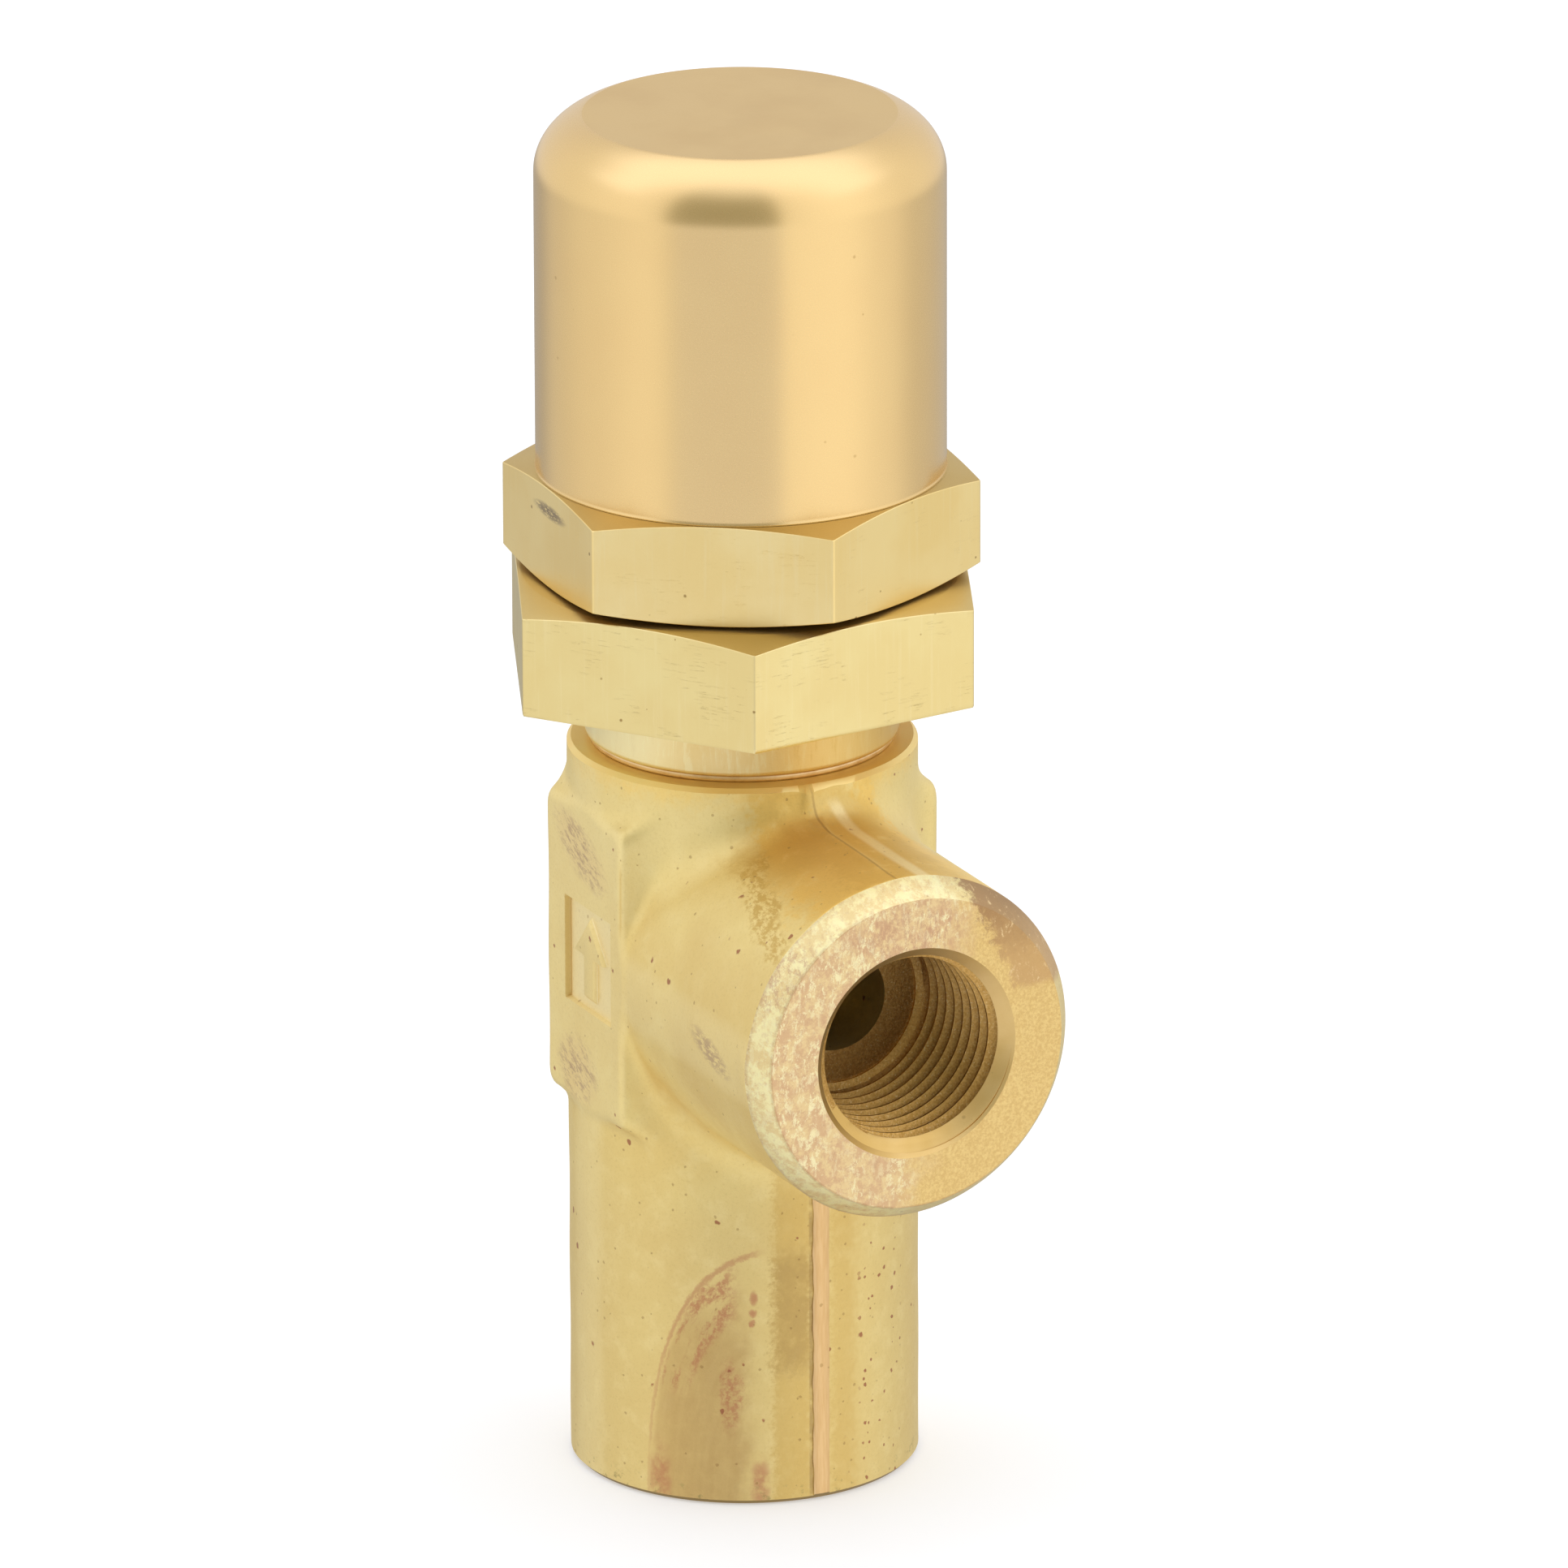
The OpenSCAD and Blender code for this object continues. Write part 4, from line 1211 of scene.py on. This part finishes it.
def floor():
    mesh = bpy.data.meshes.new("floor")
    size = 15
    mesh.from_pydata([(-size, -size, -0.0001), (size, -size, -0.0001), (size, size, -0.0001),
        (-size, size, -0.0001)], [], [(0, 1, 2, 3)])
    obj = new_object("floor", mesh)
    s = Shade("floor", metallic=0.0)
    s.bsdf.inputs["Specular IOR Level"].default_value = 0
    s.bsdf.inputs["Emission Color"].default_value = (1, 1, 1, 1)
    s.bsdf.inputs["Emission Strength"].default_value = 0.38
    s.colour = (0.65, 0.65, 0.65)
    mesh.materials.append(s.finish(1.0))
    obj.visible_glossy = False


def camera():
    data = bpy.data.cameras.new("camera")
    data.sensor_width = CAMERA_SENSOR
    data.lens = CAMERA_LENS
    data.clip_start, data.clip_end = 0.05, 60
    obj = bpy.data.objects.new("camera", data)
    bpy.context.scene.collection.objects.link(obj)
    azimuth, rise, roll = (math.radians(a) for a in (CAMERA_AZIMUTH, CAMERA_ELEVATION, CAMERA_ROLL))
    back = Vector((math.sin(azimuth) * math.cos(rise), -math.cos(azimuth) * math.cos(rise), math.sin(rise)))
    right = Vector((math.cos(azimuth), math.sin(azimuth), 0))
    up = back.cross(right)
    across = right * math.cos(roll) + up * math.sin(roll)
    upward = up * math.cos(roll) - right * math.sin(roll)
    place = (Vector(CAMERA_TARGET) + back * CAMERA_DISTANCE) * MM
    turn = Matrix((across, upward, back)).transposed().to_4x4()
    obj.matrix_world = Matrix.Translation(place) @ turn
    bpy.context.scene.camera = obj


# ---------------------------------------------------------------- which face has which material
def body_faces(c, n):
    """Material number of each face of the body, in the order of body_look."""
    x, y, z = c.T
    kind = np.zeros(len(c), int)
    from_outlet = np.hypot(y, z - OUTLET_Z)
    from_axis = np.hypot(x, y)
    cone = from_outlet - END_FLAT_R - (OUTLET_X - x) * 0.7
    kind[(np.abs(cone) < 0.03) & (x > OUTLET_X - 2.6) & (n[:, 0] > 0.4)] = 2
    kind[x > OUTLET_X - 0.02] = 1
    kind[(np.abs(y - STRIP_SHIFT) < STRIP_HALF + 0.12) & (x > STRIP_FACE - 0.03) & (z < STRIP_TOP)
        & (from_axis < BODY_R + 0.4)] = 4
    # painted light: the body's top face takes the lightened rim brass
    kind[(z > BODY_TOP - 0.44) & (n[:, 2] > 0.5)] = 5
    # painted shadow: the foot's downward chamfer takes the dark bore brass
    kind[(z < 0.44) & (n[:, 2] < -0.5)] = 6
    # painted shade: the chamber and seat inside take the dark bore brass
    kind[(from_axis < CHAMBER_R + 1.6) & (z > SEAT_Z - 3) & (from_outlet < 40)
        & (n[:, 0] * x + n[:, 1] * y < 0.1)] = 6
    kind[(from_outlet < PORT_MOUTH_R + 0.05) & (x > OUTLET_X - PORT_DEPTH - 0.1) & (x < OUTLET_X - 0.02)] = 3
    kind[(kind == 3) & (x > OUTLET_X - 1.5)] = 7
    kind[(from_axis < PORT_MOUTH_R + 0.05) & (z < PORT_DEPTH + 0.1) & (z > 0.01)] = 3
    return kind


def hexagon_faces(top, bottom, across, turn):
    """0 on a hexagon's flats and 1 elsewhere."""
    def choose(c, n):
        angle = np.degrees(np.arctan2(c[:, 1], c[:, 0]))
        away = hex_radius(np.radians(angle), across, turn) - np.hypot(c[:, 0], c[:, 1])
        level = (c[:, 2] > bottom - 0.01) & (c[:, 2] < top + 0.01)
        flat = (np.abs(n[:, 2]) < 0.9) & (np.abs(away) < 0.12) & level
        return np.where(flat, 0, 1)
    return choose


def bonnet_faces(c, n):
    """0 on the bonnet's flats, 1 on its chamfer and upper end, 2 on its neck and below."""
    kind = hexagon_faces(HEX_TOP, HEX_Z, BONNET_HEX, BONNET_TURN)(c, n)
    return np.where(kind == 0, 0, np.where(c[:, 2] > HEX_Z + 0.3, 1, 2))


def cap_faces(c, n):
    """0 on the cap's flats, 1 on its wall, 2 on its chamfers and inside, 3 on its flat end."""
    kind = hexagon_faces(CAP_HEX_TOP, CAP_Z, CAP_HEX, CAP_TURN)(c, n)
    outward = np.sign(n[:, 0] * c[:, 0] + n[:, 1] * c[:, 1])
    outside = (c[:, 2] > CAP_HEX_TOP + 0.03) & (np.hypot(c[:, 0], c[:, 1]) * outward > 0)
    end = c[:, 2] > CAP_TOP - 0.02
    return np.where(kind == 0, 0, np.where(end, 3, np.where(outside, 1, 2)))


# ---------------------------------------------------------------- assembly
def fit(obj, node, body_name, slot, *materials):
    """Puts a finished piece on its body in place of its CAD node."""
    if materials:
        paint(obj, materials, lambda c, n: np.zeros(len(c)))
    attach(obj, body_name)
    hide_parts(node)
    return obj


bpy.context.scene.view_settings.view_transform = "Standard"
camera()
studio()
floor()
drawn = drawn_brass("bonnet_bar_brass", (0.82, 0.68, 0.32), (0.79, 0.63, 0.28))
cap_bar = drawn_brass("cap_bar_brass", (0.93, 0.73, 0.33), (0.90, 0.68, 0.28))
satin = turned_brass("satin_cap_brass", (0.84, 0.60, 0.275), (0.80, 0.55, 0.25), rough=0.25, rings=0.12,
    relief=0.0022, stretch=0.6)
cap_end = turned_brass("cap_end_brass", (0.78, 0.56, 0.245), (0.72, 0.50, 0.21), rough=0.34, rings=0.3,
    relief=0.008, blush=0.6)
turned = turned_brass("turned_brass", (0.78, 0.57, 0.21), (0.66, 0.42, 0.11), rough=0.33, relief=0.012,
    blush=0.7)
cone = turned_brass("chamfer_brass", (0.70, 0.53, 0.21), (0.62, 0.43, 0.14), rough=0.40, relief=0.010)
neck = turned_brass("neck_brass", (0.86, 0.66, 0.30), (0.80, 0.57, 0.21), rough=0.42, relief=0.014,
    blush=0.6, streaks=0.34, uneven=0.6)
# painted light: the body's top face is lightened to full brightness, making up for the shade under the
# bonnet's hexagon
rim = turned_brass("body_rim_brass_painted_light", (1.0, 0.81, 0.36), (1.0, 0.72, 0.27), rough=0.50, relief=0.012,
    blush=0.6)
steel = machined("bright_steel", (0.46, 0.46, 0.47), (0.34, 0.33, 0.32), 0.32)
copper = machined("soft_copper", (0.84, 0.62, 0.34), (0.72, 0.48, 0.23), 0.42)
end_face = boss_end("outlet_end", ((0.84, 0.63, 0.32), (0.73, 0.48, 0.26)),
    ((0.73, 0.49, 0.18), (0.87, 0.64, 0.26)), (0.97, 0.88, 0.52), 0.85, 0.45, ((-1.0, 12.5), (9.0, 4.0)))
chamfer = boss_end("outlet_chamfer", ((0.95, 0.85, 0.46), (0.84, 0.66, 0.32)),
    ((0.84, 0.66, 0.28), (0.90, 0.74, 0.36)), (0.96, 0.92, 0.60), 0.35, 0.30, ((-13.5, 9.5), (5.0, 5.5)))
# dark brass whose darkness is painted shade, inside the body's chamber and on the foot's downward chamfer
bore_shade_brass = turned_brass("bored_brass_painted_shade", (0.44, 0.29, 0.10), (0.33, 0.20, 0.05), rough=0.42, relief=0.012)
mouth = turned_brass("port_mouth_brass", (0.82, 0.58, 0.24), (0.66, 0.42, 0.12), rough=0.40, relief=0.014,
    blush=0.8)
body_look = (forged_brass(), end_face, chamfer, tapped_brass(), sheared_strip(), rim, bore_shade_brass, mouth)
fit(paint(body(), body_look, body_faces), "body", "root", "forged_brass")
fit(paint(bonnet(), (drawn, cone, neck), bonnet_faces), "bonnet", "root", "bar_brass")
# painted shade: the cap's chamfers and inside take a darker brass, standing in for the shade the round wall
# casts on the upper chamfer
cap_chamfer_shade = turned_brass("cap_chamfer_brass_painted_shade", (0.62, 0.45, 0.16), (0.54, 0.36, 0.11), rough=0.40, relief=0.010)
fit(paint(cap(), (cap_bar, satin, cap_chamfer_shade, cap_end), cap_faces), "cap", "cap", "cap_brass")
fit(paint(locknut(), (drawn, turned), hexagon_faces(NUT_TOP, NUT_Z, NUT_HEX, NUT_TURN)), "locknut",
    "locknut", "turned_brass")
fit(adjusting_screw(), "adjusting_screw", "adjusting_screw", "steel", steel)
fit(washer(), "locknut_washer", "locknut_washer", "copper", copper)
fit(ring("bonnet_gasket_ring", "bonnet_gasket", 13.25, 15.2, 0.25), "bonnet_gasket", "root", "copper", copper)
fibre = dull("gasket_fibre", (0.30, 0.16, 0.08), (0.20, 0.10, 0.05), 0.8)
fit(ring("cap_gasket_ring", "cap_gasket", 16.25, 18.25, 0.2), "cap_gasket", "cap_gasket", "gasket_fibre",
    fibre)
fit(piston(), "valve_piston", "piston", "turned_brass", turned)
fit(seat_disc(), "seat_disc", "piston", "seat_plastic", dull("white_seat_plastic", (0.80, 0.80, 0.78),
    (0.72, 0.72, 0.70), 0.45, 0.008))
fit(disc_screw(), "disc_screw", "piston", "steel", steel)
fit(spring_button(), "spring_button", "spring_button", "steel", steel)
wire = machined("spring_wire", (0.40, 0.39, 0.38), (0.26, 0.25, 0.24), 0.36, 0.01)
lower, upper = spring()
for half in (lower, upper):
    fit(half, "main_spring", "root", "spring_steel", wire)
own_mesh(lower)
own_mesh(upper)
